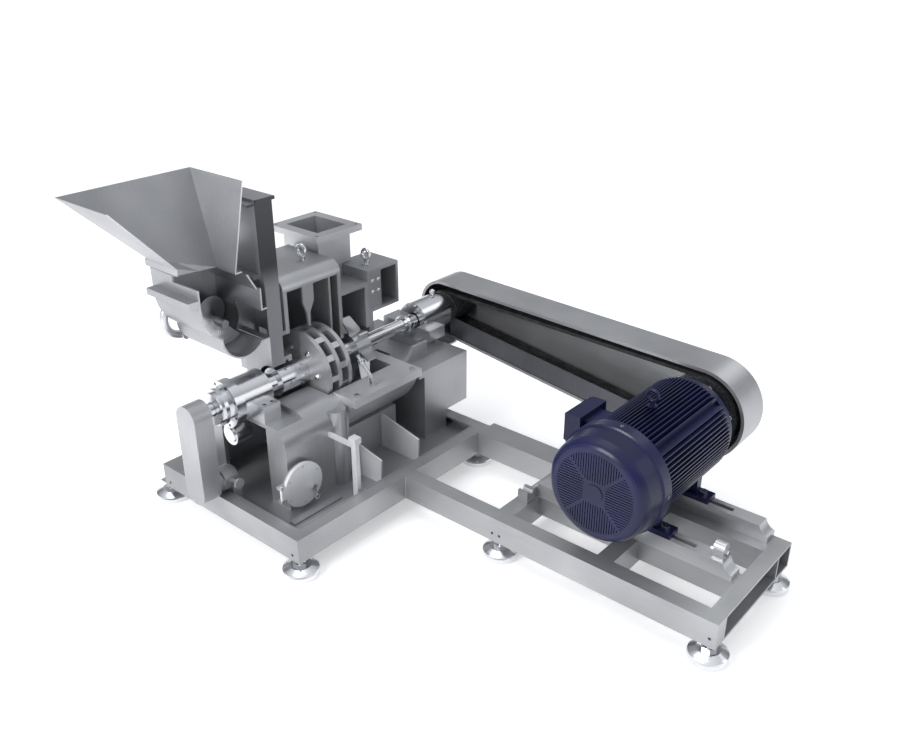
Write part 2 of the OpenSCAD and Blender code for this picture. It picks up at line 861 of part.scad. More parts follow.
module feed_end_flange() {
    inner = journal_r - 8 + 2;
    color("gainsboro") difference() {
        union() {
            bar_y(shaft_x, shaft_z, feed_bearing_y0 - 50, feed_bearing_y0, flange_r);
            bar_y(shaft_x, shaft_z, feed_bearing_y0 - 110, feed_bearing_y0 - 50, 76);
            bar_y(shaft_x, shaft_z, feed_bearing_y0 - 92, feed_bearing_y0 - 72, 90);
        }
        bar_y(shaft_x, shaft_z, feed_bearing_y0 - 111, feed_bearing_y0 + cut, inner);
        round_y(shaft_x, shaft_z, 8, 102, 22.5)
            bar_y(0, 0, feed_bearing_y0 - 51, feed_bearing_y0 - 20, 7);
    }
}

module drive_bearing_base() {
    color("silver") difference() {
        union() {
            intersection() {
                bar_y(shaft_x, shaft_z, drive_bearing_y0, drive_bearing_y1, housing_r);
                half_space(false, drive_bearing_y0 - cut, drive_bearing_y1 + cut);
            }
            block(shaft_x - wing_half, shaft_x + wing_half, drive_bearing_y0 - 60,
                  pedestal_y1, shaft_z - 62, shaft_z);
            block(shaft_x - 110, shaft_x + 110, drive_bearing_y0 - 90, pedestal_y1 - 10,
                  pedestal_top + slab_t, shaft_z - 62);
            block(shaft_x - 16, shaft_x + 16, pedestal_y1, drive_bearing_y1 - 20,
                  shaft_z - housing_r - 20, shaft_z - 60);
        }
        bearing_bore(drive_bearing_y0, drive_bearing_y1);
        bar_y(shaft_x, shaft_z, drive_bearing_y0 - 61, drive_bearing_y0 + cut, housing_r - 20);
    }
}

module drive_bearing_cap() {
    color("gainsboro") {
        difference() {
            intersection() {
                bar_y(shaft_x, shaft_z, drive_bearing_y0, drive_bearing_y1, housing_r);
                half_space(true, drive_bearing_y0 - cut, drive_bearing_y1 + cut);
            }
            bearing_bore(drive_bearing_y0, drive_bearing_y1);
        }
        translate([shaft_x, drive_bearing_y1 - 45, shaft_z + housing_r - 2]) {
            cylinder(h = 16, r = 8);
            translate([0, 0, 22]) sphere(16, $fn = 32);
        }
    }
}

module drive_bearing_ring() {
    color("lightgray") bearing_ring(drive_bearing_y0, drive_bearing_y1);
}

// Oil pot under the feed end bearing.
module oil_pot() {
    pot_r = 52;
    pot_z = shaft_z - flange_r - pot_r - 3;
    neck_y = feed_bearing_y0 + 26;
    color("lightgray") {
        bar_y(shaft_x, pot_z, stand_y0 - 74, stand_y0 + 16, pot_r);
        bar_y(shaft_x, pot_z, stand_y0 - 82, stand_y0 - 74, pot_r - 14);
        translate([shaft_x, neck_y, pot_z + pot_r - 8])
            cylinder(h = shaft_z - housing_r - pot_z - pot_r + 8, r = 14);
    }
}

// Stands and casings

module shouldered(half, top, r) {
    translate([shaft_x - half, deck_z]) square([2 * half, top - deck_z - r]);
    translate([shaft_x - half + r, deck_z]) square([2 * (half - r), top - deck_z]);
    for (side = [-1, 1])
        translate([shaft_x + side * (half - r), top - r]) circle(r, $fn = 96);
}

module feed_end_stand() {
    post_in = 132;
    pilaster_r = 50;
    color("silver") difference() {
        union() {
            pulled_y(stand_y0, stand_y1) shouldered(stand_half, joint_z, shoulder_r);
            for (side = [-1, 1])
                translate([shaft_x + side * (stand_half - pilaster_r + 26),
                           stand_y1 - pilaster_r - 8, deck_z])
                    cylinder(h = joint_z - joint_t - deck_z, r = pilaster_r);
        }
        pulled_y(stand_y0 + stand_wall, stand_y1 - stand_wall)
            shouldered(stand_half - stand_wall, stand_top - stand_wall, shoulder_r - stand_wall);
        pulled_y(stand_y0 - cut, stand_y0 + stand_wall + cut)
            translate([shaft_x - stand_half + post_in, deck_z])
                square([2 * (stand_half - post_in), stand_top - stand_wall - deck_z]);
        block(shaft_x - stand_half - cut, shaft_x + stand_half + cut, stand_y0 - cut,
              stand_y0 + 150, stand_top, joint_z + cut);
        bar_y(shaft_x, shaft_z, stand_y0 - cut, disc_y0 - 14, sleeve_r + 16);
        bar_y(shaft_x, shaft_z, stand_y0 - cut, feed_bearing_y1 + 8, housing_r + nest_gap);
        bar_y(shaft_x, shaft_z, disc_y0 - 14, stand_y1 + cut, bore_r);
        intersection() {
            bar_x(shaft_x + stand_half - stand_wall - cut, shaft_x + stand_half + cut,
                  port_y, port_z, port_neck_r - 8);
            block(shaft_x, shaft_x + stand_half + 2 * cut, stand_y0 + stand_wall,
                  stand_y1, deck_z, joint_z);
        }
    }
}

module drive_end_pedestal() {
    x0 = shaft_x - pedestal_half;
    x1 = shaft_x + pedestal_half;
    rear_beam_y = mill_base_w - beam_w - 2;
    color("silver") {
        difference() {
            union() {
                block(x0, x1, pedestal_y0, rear_beam_y, deck_z, pedestal_top);
                block(x0, x1, rear_beam_y - cut, pedestal_y1, pedestal_rear_z, pedestal_top);
            }
            block(x0 + plate, x1 - plate, pedestal_y0 + plate, rear_beam_y - plate,
                  deck_z - cut, pedestal_top - plate);
            block(x0 + plate, x1 - plate, rear_beam_y - plate - cut, pedestal_y1 - plate,
                  pedestal_rear_z + plate, pedestal_top - plate);
        }
        difference() {
            block(x0 - 10, x1, pedestal_y0 - 40, pedestal_y1, pedestal_top,
                  pedestal_top + slab_t);
            block(shaft_x - 52, shaft_x + 52, pedestal_y0 - 41, pedestal_y0 + 40,
                  pedestal_top - cut, pedestal_top + slab_t + cut);
        }
        for (side = [-1, 1]) translate([shaft_x + side * 200, 0, 0])
            pulled_x(-10, 10) difference() {
                translate([casing_y1 + 8, joint_z - 80])
                    square([pedestal_y0 + 150 - casing_y1, 120]);
                translate([casing_y1 + 8, joint_z + 60]) circle(90, $fn = 64);
                translate([casing_y1, joint_z - 90]) square([pedestal_y0 - 40 - casing_y1, 90]);
                translate([pedestal_y0 - 41, joint_z - 81])
                    square([300, pedestal_top + slab_t - joint_z + 81]);
            }
    }
}

module lower_casing() {
    drum_z = shaft_z;
    color("silver") difference() {
        union() {
            intersection() {
                bar_y(shaft_x, drum_z, casing_y0, casing_y1, drum_r, $fn = 128);
                block(shaft_x - drum_r, shaft_x + drum_r, casing_y0, casing_y1,
                      drum_z - drum_r, joint_z);
            }
            block(shaft_x - joint_half, shaft_x + joint_half, casing_y0, casing_y1,
                  joint_z - joint_t, joint_z);
            block(shaft_x - 200, shaft_x + 200, casing_y0 + 40, casing_y1 - 40,
                  deck_z, drum_z - drum_r + 40);
        }
        bar_y(shaft_x, shaft_z, casing_y0 - cut, 1000, bore_r, $fn = 96);
        bar_y(shaft_x, shaft_z, 999, casing_y1 + cut, neck_r + 24);
        for (y = [casing_y0 + 40, casing_y1 - 40], side = [-1, 1])
            translate([shaft_x + side * (joint_half - 32), y, joint_z - joint_t - cut])
                cylinder(h = joint_t + 2 * cut, r = 8);
        block(shaft_x - 170, shaft_x + 170, casing_y0 + 60, casing_y1 - 60,
              deck_z - cut, drum_z - drum_r - 10);
    }
    // Lugs of the swing bolt.
    color("silver") difference() {
        for (side = [-1, 1])
            block(swing_x + side * 14 - 4, swing_x + side * 14 + 4, swing_y - 18, swing_y + 18,
                  joint_z, swing_z + 14);
        bar_x(swing_x - 20, swing_x + 20, swing_y, swing_z, swing_pin_r + running_gap);
    }
}

// Gusset plates between the casing and the deck, with a stay post in front.
module casing_legs() {
    gusset_top = 283;
    stay_x = -97;
    stay_y = 462;
    color("lightgray") for (side = [-1, 1], y = [640, 909]) {
        foot = side < 0 ? -mill_base_l + beam_w + 10 : -112;
        body = shaft_x + side * 210;
        pulled_y(y, y + plate) difference() {
            polygon([[foot, deck_z], [body, deck_z], [body, gusset_top + 60], [foot, gusset_top]]);
            translate([shaft_x, shaft_z]) circle(drum_r + nest_gap, $fn = 128);
        }
    }
    color("gray") {
        block(stay_x - 15, stay_x + 15, stay_y - 12, stay_y + 12, deck_z, 470);
        block(stay_x - 22, stay_x + 22, stay_y - 20, stay_y + 20, 470, 500);
        block(shaft_x + stand_half, stay_x - 15, stay_y - 6, stay_y + 6, 440, 464);
    }
}

module upper_casing() {
    wall = casing_wall;
    color("silver") difference() {
        union() {
            block(lid_back_x, section_x, lid_y0, lid_y1, joint_z, lid_z - lid_edge_r);
            block(lid_back_x, section_x - lid_edge_r, lid_y0, lid_y1,
                  lid_z - lid_edge_r - cut, lid_z);
            bar_y(section_x - lid_edge_r, lid_z - lid_edge_r, lid_y0, lid_y1, lid_edge_r);
            block(lid_back_x, section_x, lid_y1 - cut, box_y0, joint_z, fan_casing_top);
        }
        block(lid_back_x + wall, section_x + cut, lid_y0 + wall, lid_y1 - wall,
              joint_z - cut, lid_z - lid_edge_r - 5);
        block(lid_back_x + wall, section_x + cut, lid_y1, box_y0 - wall,
              joint_z - cut, fan_casing_top - wall);
        bar_y(shaft_x, shaft_z, lid_y0 - cut, box_y0 + cut, sleeve_r + 16);
        block(chute_x0 + 26, section_x + cut, lid_y0 - cut, lid_y0 + wall + cut, mouth_z0, mouth_z1);
        block(duct_x0 + duct_neck + wall, duct_x1 - duct_neck - wall, duct_y0 + duct_neck + wall,
              box_y0 - wall, fan_casing_top - wall - cut, fan_casing_top + cut);
    }
}

// Wall between the two stages, with a tapering post over the shaft.
module casing_partition() {
    color("gray") {
        difference() {
            block(lid_back_x + casing_wall, section_x, lid_y1 - casing_wall - 60,
                  lid_y1 - casing_wall - 48, joint_z, lid_z - lid_edge_r - 5);
            bar_y(shaft_x, shaft_z, lid_y0, lid_y1, spacer_r + 8);
        }
        pulled_x(section_x - 14, section_x) polygon([
            [partition_y - 26, lid_z - lid_edge_r - 5], [partition_y + 42, lid_z - lid_edge_r - 5],
            [partition_y + 42, 1000], [partition_y + 14, 945], [partition_y + 12, shaft_z + bore_r + 8],
            [partition_y, shaft_z + bore_r + 8], [partition_y - 6, 945], [partition_y - 26, 1000]
        ]);
    }
}

module drive_end_box() {
    wall = 16;
    color("silver") difference() {
        block(box_x0, section_x, box_y0, box_y1, box_bottom, box_top);
        block(box_x0 + wall, section_x + cut, box_y0 + wall, box_y1 - wall,
              box_bottom + wall, box_top - wall);
    }
    color("silver") {
        difference() {
            block(section_x - 26, section_x - 16, box_y0 + wall, box_y0 + 112,
                  box_bottom + wall, box_top - wall);
            for (y = [box_y0 + 50, box_y0 + 92], z = [box_top - 70, box_top - 130])
                bar_x(section_x - 30, section_x - 12, y, z, 5);
        }
        // Neck down to the casing wall round the shaft.
        difference() {
            block(box_x0 + 40, section_x, box_y0, box_y0 + 30, joint_z, box_bottom);
            bar_y(shaft_x, shaft_z, box_y0 - cut, box_y0 + 31, neck_r + 24);
        }
    }
}

module outlet_duct() {
    n = duct_neck;
    t = 12;
    step_z = box_top + 4;
    color("silver") difference() {
        union() {
            block(duct_x0, duct_x1, duct_y0, duct_y1, duct_top - duct_flange_t, duct_top);
            block(duct_x0 + n, duct_x1 - n, duct_y0 + n, duct_y1 - n,
                  step_z, duct_top - duct_flange_t + cut);
            block(duct_x0 + n, duct_x1 - n, duct_y0 + n, box_y0 - 2,
                  fan_casing_top, step_z + cut);
        }
        block(duct_x0 + n + t, duct_x1 - n - t, duct_y0 + n + t, duct_y1 - n - t,
              step_z + t, duct_top + cut);
        block(duct_x0 + n + t, duct_x1 - n - t, duct_y0 + n + t, box_y0 - 2 - t,
              fan_casing_top - cut, step_z + t + cut);
        for (x = [duct_x0 + 22, duct_x1 - 22], y = [duct_y0 + 22, duct_y1 - 22])
            translate([x, y, duct_top - duct_flange_t - cut])
                cylinder(h = duct_flange_t + 2 * cut, r = 8);
    }
}

// Feeder

// Four slanted walls, cut at the section plane: the near wall ends higher than the far wall.
module hopper_solid(inset, lift) {
    rim_x1 = 2 * shaft_x - rim_x0;
    throat_x1 = 2 * shaft_x - throat_x0;
    drop = hopper_z + 2 * lift - throat_near_z;
    near_x0 = rim_x0 + (throat_x0 - rim_x0) * drop / (drop + throat_near_z - throat_far_z);
    near_x1 = 2 * shaft_x - near_x0;
    polyhedron(
        points = [
            [rim_x0 + inset, rim_y0 + inset, hopper_z + lift],
            [rim_x1 - inset, rim_y0 + inset, hopper_z + lift],
            [rim_x1 - inset, rim_y1 - inset, hopper_z + lift],
            [rim_x0 + inset, rim_y1 - inset, hopper_z + lift],
            [near_x0 + inset, throat_y0 + inset, throat_near_z - lift],
            [near_x1 - inset, throat_y0 + inset, throat_near_z - lift],
            [throat_x1 - inset, throat_y1 - inset, throat_far_z - lift],
            [throat_x0 + inset, throat_y1 - inset, throat_far_z - lift]
        ],
        faces = [[3, 2, 1, 0], [4, 5, 6, 7], [0, 1, 5, 4], [1, 2, 6, 5], [2, 3, 7, 6], [3, 0, 4, 7]],
        convexity = 4
    );
}

module hopper() {
    wall = 6;
    color("silver") difference() {
        hopper_solid(0, 0);
        hopper_solid(wall, 0.5);
        block(section_x, section_x + 500, rim_y0 - cut, rim_y1 + cut, throat_far_z - 10, hopper_z + 10);
    }
    // Turned-out foot of the far wall.
    color("silver") block(throat_x0 + wall, section_x, throat_y1 - 4, throat_y1 + 32,
                          throat_far_z - 4, throat_far_z + 3);
}

module feed_chute() {
    t = 6;
    rim_h = 14;
    liner_t = 18;
    liner_lip = 42;
    liner_edge = 12;
    liner_z0 = 1198;
    liner_z1 = chute_top;
    color("silver") difference() {
        union() {
            block(chute_x0, section_x, chute_y0, chute_y1, chute_bottom, chute_top);
            block(chute_x0 - 8, section_x + 8, chute_y0 - 16, chute_y1 + 12,
                  chute_top - cut, chute_top + rim_h);
            block(chute_x0, section_x, chute_y0 - liner_t, chute_y0 + cut, liner_z0, liner_z1);
            for (z = [liner_z0, liner_z1 - liner_edge])
                block(chute_x0, section_x, chute_y0 - liner_t - liner_lip, chute_y0 - liner_t + cut,
                      z, z + liner_edge);
            block(chute_x0, section_x, chute_y1 - cut, lid_y0, mouth_z0 - 20, mouth_z1 + 20);
            block(chute_x0, section_x, chute_y1 - cut, lid_y0, chute_bottom, chute_bottom + 12);
        }
        block(chute_x0 + t, section_x - t, chute_y0 + t, chute_y1 - t,
              mouth_z0 - 60, chute_top);
        block(chute_x0 + t + 20, section_x + cut, chute_y1 - t - cut, lid_y0 + cut, mouth_z0, mouth_z1);
        block(chute_x0 + t, section_x + cut, chute_y0 + t, chute_y1 - t,
              chute_bottom + 12, mouth_z0 - 70);
        bar_y(shaft_x, shaft_z, chute_y0 - cut, lid_y0 + cut, sleeve_r + 16);
        block(chute_x0 + t, section_x - t, chute_y0 - cut, chute_y0 + t + cut,
              screw_z - 70, screw_z + 70);
    }
}

// Keyhole section of the trough: a wide bin, flat on its far side, over a narrow screw tube.
module trough_outline(inset) {
    far_low_z = 1116;
    far_top_y = 283;
    r = trough_r - inset;
    s = screw_trough_r - inset;
    intersection() {
        union() {
            translate([trough_y, trough_z]) circle(r, $fn = 96);
            translate([trough_y - r, trough_z]) square([2 * r, trough_top - trough_z]);
        }
        polygon([
            [trough_y - r, trough_z - r], [trough_far_y - inset, trough_z - r],
            [trough_far_y - inset, far_low_z - inset / 4],
            [far_top_y - inset * 0.6, trough_top - inset], [trough_y - r, trough_top - inset]
        ]);
    }
    translate([trough_y, screw_z]) circle(s, $fn = 96);
    translate([trough_y - s, screw_z])
        square([trough_far_y - inset - trough_y + s, trough_z - screw_z]);
}

module feeder_trough() {
    spout_y = chute_y0 - nest_gap;
    color("silver") difference() {
        union() {
            pulled_x(trough_x0, section_x) trough_outline(0);
            block(chute_x0, section_x, trough_far_y - trough_wall, spout_y,
                  screw_z - spout_half, screw_z + spout_half);
            block(-870, section_x, -22, trough_y, 1158, 1188);
            block(-765, section_x, 50, trough_y, 1240, trough_top);
            block(throat_near_x - 30, section_x, throat_y0, trough_y,
                  throat_near_z - 30, throat_near_z);
            pulled_x(throat_near_x - 30, section_x) polygon([
                [throat_y0 + 6, throat_near_z - 29], [trough_y, throat_near_z - 29],
                [trough_y, trough_top - 2], [56, trough_top - 2]
            ]);
        }
        pulled_x(trough_x0 + trough_wall, section_x + cut) trough_outline(trough_wall);
        translate([0, 0, trough_top - 30]) linear_extrude(throat_near_z - trough_top + 30 + cut)
            polygon([
                [throat_near_x, throat_y0 + 6], [section_x + cut, throat_y0 + 6],
                [section_x + cut, trough_y + 60], [throat_x0, trough_y + 60],
                [throat_x0, throat_y1]
            ]);
        block(chute_x0 + trough_wall, section_x + cut, trough_y, spout_y + cut,
              screw_z - spout_half + trough_wall, screw_z + spout_half - trough_wall);
        bar_x(trough_x0 - cut, trough_x0 + trough_wall + cut, trough_y, screw_z, 20 + running_gap);
        hopper_solid(-nest_gap, 0);
    }
}

module feed_screw() {
    length = chute_x0 - trough_x0 + 40;
    color("lightgray") {
        bar_x(trough_x0 - 60, chute_x0 + 60, trough_y, screw_z, 20);
        translate([trough_x0 + 14, trough_y, screw_z]) rotate([0, 90, 0])
            linear_extrude(length, twist = -360 * length / 160, $fn = 8, slices = 40)
                translate([0, -4]) square([screw_r, 8]);
    }
}

// Bent tube on the end wall of the trough.
module bow_handle() {
    bow_y = trough_y - 80;
    bow_z = screw_z + 8;
    bow_r = 92;
    wire = 20;
    bow_x = trough_x0 - 30;
    color("lightgray") {
        translate([bow_x, bow_y, bow_z]) rotate([90, 0, 90]) rotate([0, 0, 90])
            rotate_extrude(angle = 180, $fn = 64) translate([bow_r, 0]) circle(wire, $fn = 32);
        for (side = [-1, 1]) {
            translate([bow_x, bow_y, bow_z + side * bow_r]) sphere(wire, $fn = 48);
            bar_x(bow_x, trough_x0, bow_y, bow_z + side * bow_r, wire);
        }
    }
}

// Take-off drive and oil pump at the feed end

module take_off_outline(r) {
    for (z = [shaft_z, cover_low_z])
        translate([shaft_x, z]) circle(r, $fn = 96);
    translate([shaft_x - r, cover_low_z]) square([2 * r, shaft_z - cover_low_z]);
}

module take_off_cover() {
    color("lightgray") difference() {
        pulled_y(cover_y0, cover_y1_box) take_off_outline(cover_half);
        pulled_y(cover_y0 + sheet, cover_y1_box - sheet) take_off_outline(cover_half - sheet);
        bar_y(shaft_x, shaft_z, cover_y1_box - sheet - cut, cover_y1_box + cut, journal_r);
        bar_y(shaft_x, cover_low_z, cover_y1_box - sheet - cut, cover_y1_box + cut, 24);
    }
}

module take_off_wheel(z, bore) {
    pipe_y(shaft_x, z, take_off_y, take_off_y + take_off_w, take_off_r, bore);
}

module take_off_pulley() {
    color("gray") take_off_wheel(shaft_z, end_seat_r);
}

module take_off_belt() {
    inner = take_off_r + nest_gap;
    outer = inner + take_off_belt_t;
    color("#26262a") pulled_y(take_off_y + 6, take_off_y + take_off_w - 6) difference() {
        take_off_outline(outer);
        take_off_outline(inner);
    }
}

module pump_shaft() {
    color("gainsboro") {
        bar_y(shaft_x, cover_low_z, take_off_y - 6, 96, 14);
        take_off_wheel(cover_low_z, 14);
    }
}

module oil_pump() {
    color("silver") {
        difference() {
            union() {
                bar_y(shaft_x, cover_low_z, cover_y1_box, 110, 46);
                bar_y(shaft_x, cover_low_z, 30, 90, 58);
                block(shaft_x - 60, shaft_x + 60, beam_w + 2, 110, deck_z, cover_low_z - 20);
            }
            bar_y(shaft_x, cover_low_z, cover_y1_box - cut, 97, 14 + running_gap);
        }
        bar_x(shaft_x + 40, shaft_x + 110, 60, cover_low_z + 14, 9);
        translate([shaft_x + 110, 60, cover_low_z + 14]) rotate([0, 90, 0]) cylinder(h = 10, r = 26);
    }
}

// Clean-out port

module cleanout_neck() {
    rim_r = port_neck_r + 18;
    rim_x = port_face_x - port_t - port_rim_t;
    color("silver") difference() {
        union() {
            bar_x(shaft_x + stand_half, rim_x + 1, port_y, port_z, port_neck_r);
            bar_x(rim_x, rim_x + port_rim_t, port_y, port_z, rim_r);
            for (z = [port_z - 44, port_z + 28]) {
                block(rim_x, rim_x + port_rim_t, port_hinge_y - 10, port_y - rim_r + 20, z, z + 16);
                translate([port_face_x - port_t / 2, port_hinge_y, z]) cylinder(h = 16, r = 10);
                block(rim_x, port_face_x - port_t / 2, port_hinge_y - 10, port_hinge_y + 10, z, z + 16);
            }
        }
        bar_x(shaft_x + stand_half - cut, rim_x + port_rim_t + cut, port_y, port_z,
              port_neck_r - 8);
        translate([port_face_x - port_t / 2, port_hinge_y, port_z - 60])
            cylinder(h = 120, r = port_pin_r + running_gap);
    }
}

// Round door with its hinge pin.
module cleanout_cover() {
    pin_x = port_face_x - port_t / 2;
    color("lightgray") {
        difference() {
            bar_x(port_face_x - port_t, port_face_x, port_y, port_z, port_r, $fn = 96);
            for (turn = [30 : 60 : 330])
                bar_x(port_face_x - 6, port_face_x + cut, port_y + (port_r - 16) * cos(turn),
                      port_z + (port_r - 16) * sin(turn), 6);
            for (z = [port_z - 45, port_z + 27])
                block(port_face_x - port_t - cut, port_face_x + cut, port_hinge_y - 12,
                      port_hinge_y + 12, z, z + 18);
            bar_x(port_face_x - 6 - nest_gap, port_face_x + cut, clamp_y, clamp_z,
                  clamp_pin_r + running_gap);
        }
        translate([pin_x, port_hinge_y, port_z - 44]) cylinder(h = 88, r = port_pin_r);
        block(port_face_x - port_t, port_face_x, port_hinge_y, port_y - port_r + 14,
              port_z - 26, port_z + 26);
        translate([pin_x, port_hinge_y, port_z - 26]) cylinder(h = 52, r = port_t / 2);
    }
}

// Clamp lever on the door, turning on a pin near its rim, with a ring at its end.
module cleanout_clamp() {
    color("gainsboro") {
        bar_x(port_face_x - 6, port_face_x + 6, clamp_y, clamp_z, clamp_pin_r);
        bar_x(port_face_x + 1, port_face_x + 15, clamp_y, clamp_z, 15);
        translate([0, clamp_y, clamp_z]) rotate([clamp_lean, 0, 0]) {
            block(port_face_x + 3, port_face_x + 13, -8, 8, -clamp_l + 10, 0);
            difference() {
                bar_x(port_face_x + 1, port_face_x + 14, 0, -clamp_l, clamp_ring_r);
                bar_x(port_face_x, port_face_x + 16, 0, -clamp_l, clamp_ring_r / 2);
            }
        }
    }
}

// Swing bolt of the joint flange, with the bolt thrown back.
module swing_bolt() {
    color("gainsboro") translate([swing_x, swing_y, swing_z]) {
        bar_x(-17, 17, 0, 0, swing_pin_r);
        rotate([swing_lean, 0, 0]) {
            bar_x(-7, 7, 0, 0, 13);
            cylinder(h = 190, r = 9);
            translate([0, 0, 140]) cylinder(h = 16, r = 17, $fn = 6);
        }
    }
}

module lifting_eye_bolts() {
    color("gainsboro") {
        translate([section_x - 140, lid_y1 - 120, lid_z]) eye(32, 11);
        translate([section_x - 80, box_y0 + 72, box_top]) eye(32, 11);
    }
}

module joint_bolts() {
    color("silver") for (y = [casing_y0 + 40, casing_y1 - 40])
        translate([shaft_x + joint_half - 32, y, joint_z]) hex_bolt(8, joint_t - 2);
}

place() mill_base_frame();
place() mill_deck();
place() motor_base_frame();
place() foot_pads();
place() foot_studs();
place() front_slide_rail();
place() rear_slide_rail();
place() rail_adjusting_bolts();
place() motor_frame();
place() motor_fan_cover();
place() motor_end_shield();
place() motor_terminal_box();
place() motor_lifting_eye();
place() motor_shaft();
place() motor_rotor_core();
place() motor_cooling_fan();
place() motor_pulley();
place() motor_foot_bolts();
place() v_belts();
place() mill_pulley();
place() guard_shell();
place() guard_front_plate();
place() guard_brackets();
place() main_shaft();
place() rotor_sleeve();
place() rotor_discs();
place() impact_hammers();
place() fan_wheel();
place() feed_bearing_base();
place() feed_bearing_cap();
place() feed_bearing_ring();
place() feed_end_flange();
place() drive_bearing_base();
place() drive_bearing_cap();
place() drive_bearing_ring();
place() oil_pot();
place() feed_end_stand();
place() drive_end_pedestal();
place() lower_casing();
place() casing_legs();
place() upper_casing();
place() casing_partition();
place() drive_end_box();
place() outlet_duct();
place() hopper();
place() feed_chute();
place() feeder_trough();
place() feed_screw();
place() bow_handle();
place() take_off_cover();
place() take_off_pulley();
place() take_off_belt();
place() pump_shaft();
place() oil_pump();
place() cleanout_neck();
place() cleanout_cover();
place() cleanout_clamp();
place() swing_bolt();
place() lifting_eye_bolts();
place() joint_bolts();
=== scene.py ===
"""Finishes, small fittings, light and camera for an impact pulverizer with a motor on a slide base.

Lengths in the classes are millimetres in the machine's own layout: x runs along the motor base,
y from the feed end to the belts, z up from the floor. The frame's unit is the metre.
"""

import logging
import math
from collections.abc import Sequence
from dataclasses import dataclass, field
from enum import Enum

import bpy
from mathutils import Matrix, Vector


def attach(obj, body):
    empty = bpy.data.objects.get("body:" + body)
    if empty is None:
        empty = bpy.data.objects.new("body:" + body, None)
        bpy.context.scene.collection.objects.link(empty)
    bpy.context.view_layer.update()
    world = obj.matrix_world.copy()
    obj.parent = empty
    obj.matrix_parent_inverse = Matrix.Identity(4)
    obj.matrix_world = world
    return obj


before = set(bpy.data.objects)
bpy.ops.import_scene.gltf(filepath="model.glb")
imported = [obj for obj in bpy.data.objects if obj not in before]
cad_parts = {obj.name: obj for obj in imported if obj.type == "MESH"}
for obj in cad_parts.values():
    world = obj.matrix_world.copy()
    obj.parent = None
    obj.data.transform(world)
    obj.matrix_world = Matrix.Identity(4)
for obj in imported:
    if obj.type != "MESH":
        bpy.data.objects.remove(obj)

LOG = logging.getLogger("pulverizer")
LAYOUT_MIDDLE = Vector((297.5, 756.0, 0.0))
MM = 0.001

# Layout x and z of the two axes of rotation, which run along y.
SHAFT_AXIS = (-580.0, 652.0)
MOTOR_AXIS = (1031.0, 535.0)

# How much longer than wide a brushed scratch is.
SCRATCH_STRETCH = 24.0

# Degrees by which each screw head on a circle is turned past the one before.
HEAD_STAGGER = 17.0

Point = tuple[float, float, float]
Profile = Sequence[tuple[float, float]]


class Grain(Enum):
    """Direction in which a sheet or bar was brushed, as the stretch of its scratches."""

    ALONG_X = (1.0, SCRATCH_STRETCH, SCRATCH_STRETCH)
    ALONG_Y = (SCRATCH_STRETCH, 1.0, SCRATCH_STRETCH)
    ALONG_Z = (SCRATCH_STRETCH, SCRATCH_STRETCH, 1.0)


def linear(colour: str) -> tuple[float, float, float, float]:
    """Turns an sRGB hex colour into the linear colour that a shader takes.

    Args:
        colour: Six hex digits with a leading hash.

    Returns:
        Linear red, green, blue and a full alpha.
    """
    parts = [int(colour[i:i + 2], 16) / 255 for i in (1, 3, 5)]
    low_end, slope, lift, exponent = 0.04045, 12.92, 0.055, 2.4
    flat = [p / slope if p <= low_end else ((p + lift) / (1 + lift)) ** exponent for p in parts]
    return flat[0], flat[1], flat[2], 1.0


def at(x: float, y: float, z: float) -> Vector:
    """Gives a layout point in the frame's metres.

    Args:
        x: Millimetres along the motor base.
        y: Millimetres from the feed end.
        z: Millimetres over the floor.

    Returns:
        The same point in the frame.
    """
    return (Vector((x, y, z)) - LAYOUT_MIDDLE) * MM


def add_node(
    tree: bpy.types.NodeTree,
    kind: str,
    settings: dict[str, object] | None = None,
    inputs: dict[str | int, object] | None = None,
) -> bpy.types.Node:
    """Adds a shader node with its settings and links.

    Args:
        tree: The tree that takes the node.
        kind: The node's type name.
        settings: Values of the node's own properties.
        inputs: A value or an output socket for each input, by name or number.

    Returns:
        The new node.
    """
    node = tree.nodes.new(kind)
    for name, value in (settings or {}).items():
        setattr(node, name, value)
    for name, value in (inputs or {}).items():
        if isinstance(value, bpy.types.NodeSocket):
            tree.links.new(value, node.inputs[name])
        else:
            node.inputs[name].default_value = value
    return node


def shades(node: bpy.types.Node, stops: list[tuple[float, str]]) -> None:
    """Sets the stops of a colour ramp.

    Args:
        node: The ramp node.
        stops: Position and hex colour of each stop, in order.
    """
    ramp = node.color_ramp
    while len(ramp.elements) < len(stops):
        ramp.elements.new(1.0)
    for element, (position, colour) in zip(ramp.elements, stops):
        element.position = position
        element.color = linear(colour)


def nothing_selected() -> None:
    """Deselects every object, so that an operator acts on the new one alone."""
    bpy.ops.object.select_all(action="DESELECT")


def pick(piece: bpy.types.Object) -> None:
    """Makes a piece the only selected object and the active one.

    Args:
        piece: The piece.
    """
    nothing_selected()
    piece.select_set(True)
    bpy.context.view_layer.objects.active = piece


def joined(pieces: list[bpy.types.Object], name: str) -> bpy.types.Object:
    """Joins pieces into the last of them.

    Args:
        pieces: The pieces, at least one.
        name: What the joined piece is called.

    Returns:
        The joined piece.
    """
    whole = pieces[-1]
    pick(whole)
    for piece in pieces:
        piece.select_set(True)
    if len(pieces) > 1:
        bpy.ops.object.join()
    whole.name = name
    whole.data.name = name
    return whole


def settled(name: str) -> bpy.types.Object:
    """Names the active object and moves its place into its mesh.

    Args:
        name: What the piece is called.

    Returns:
        The piece, with its object at the origin.
    """
    piece = bpy.context.active_object
    piece.name = name
    piece.data.name = name
    bpy.ops.object.transform_apply(location=True, rotation=True, scale=True)
    return piece


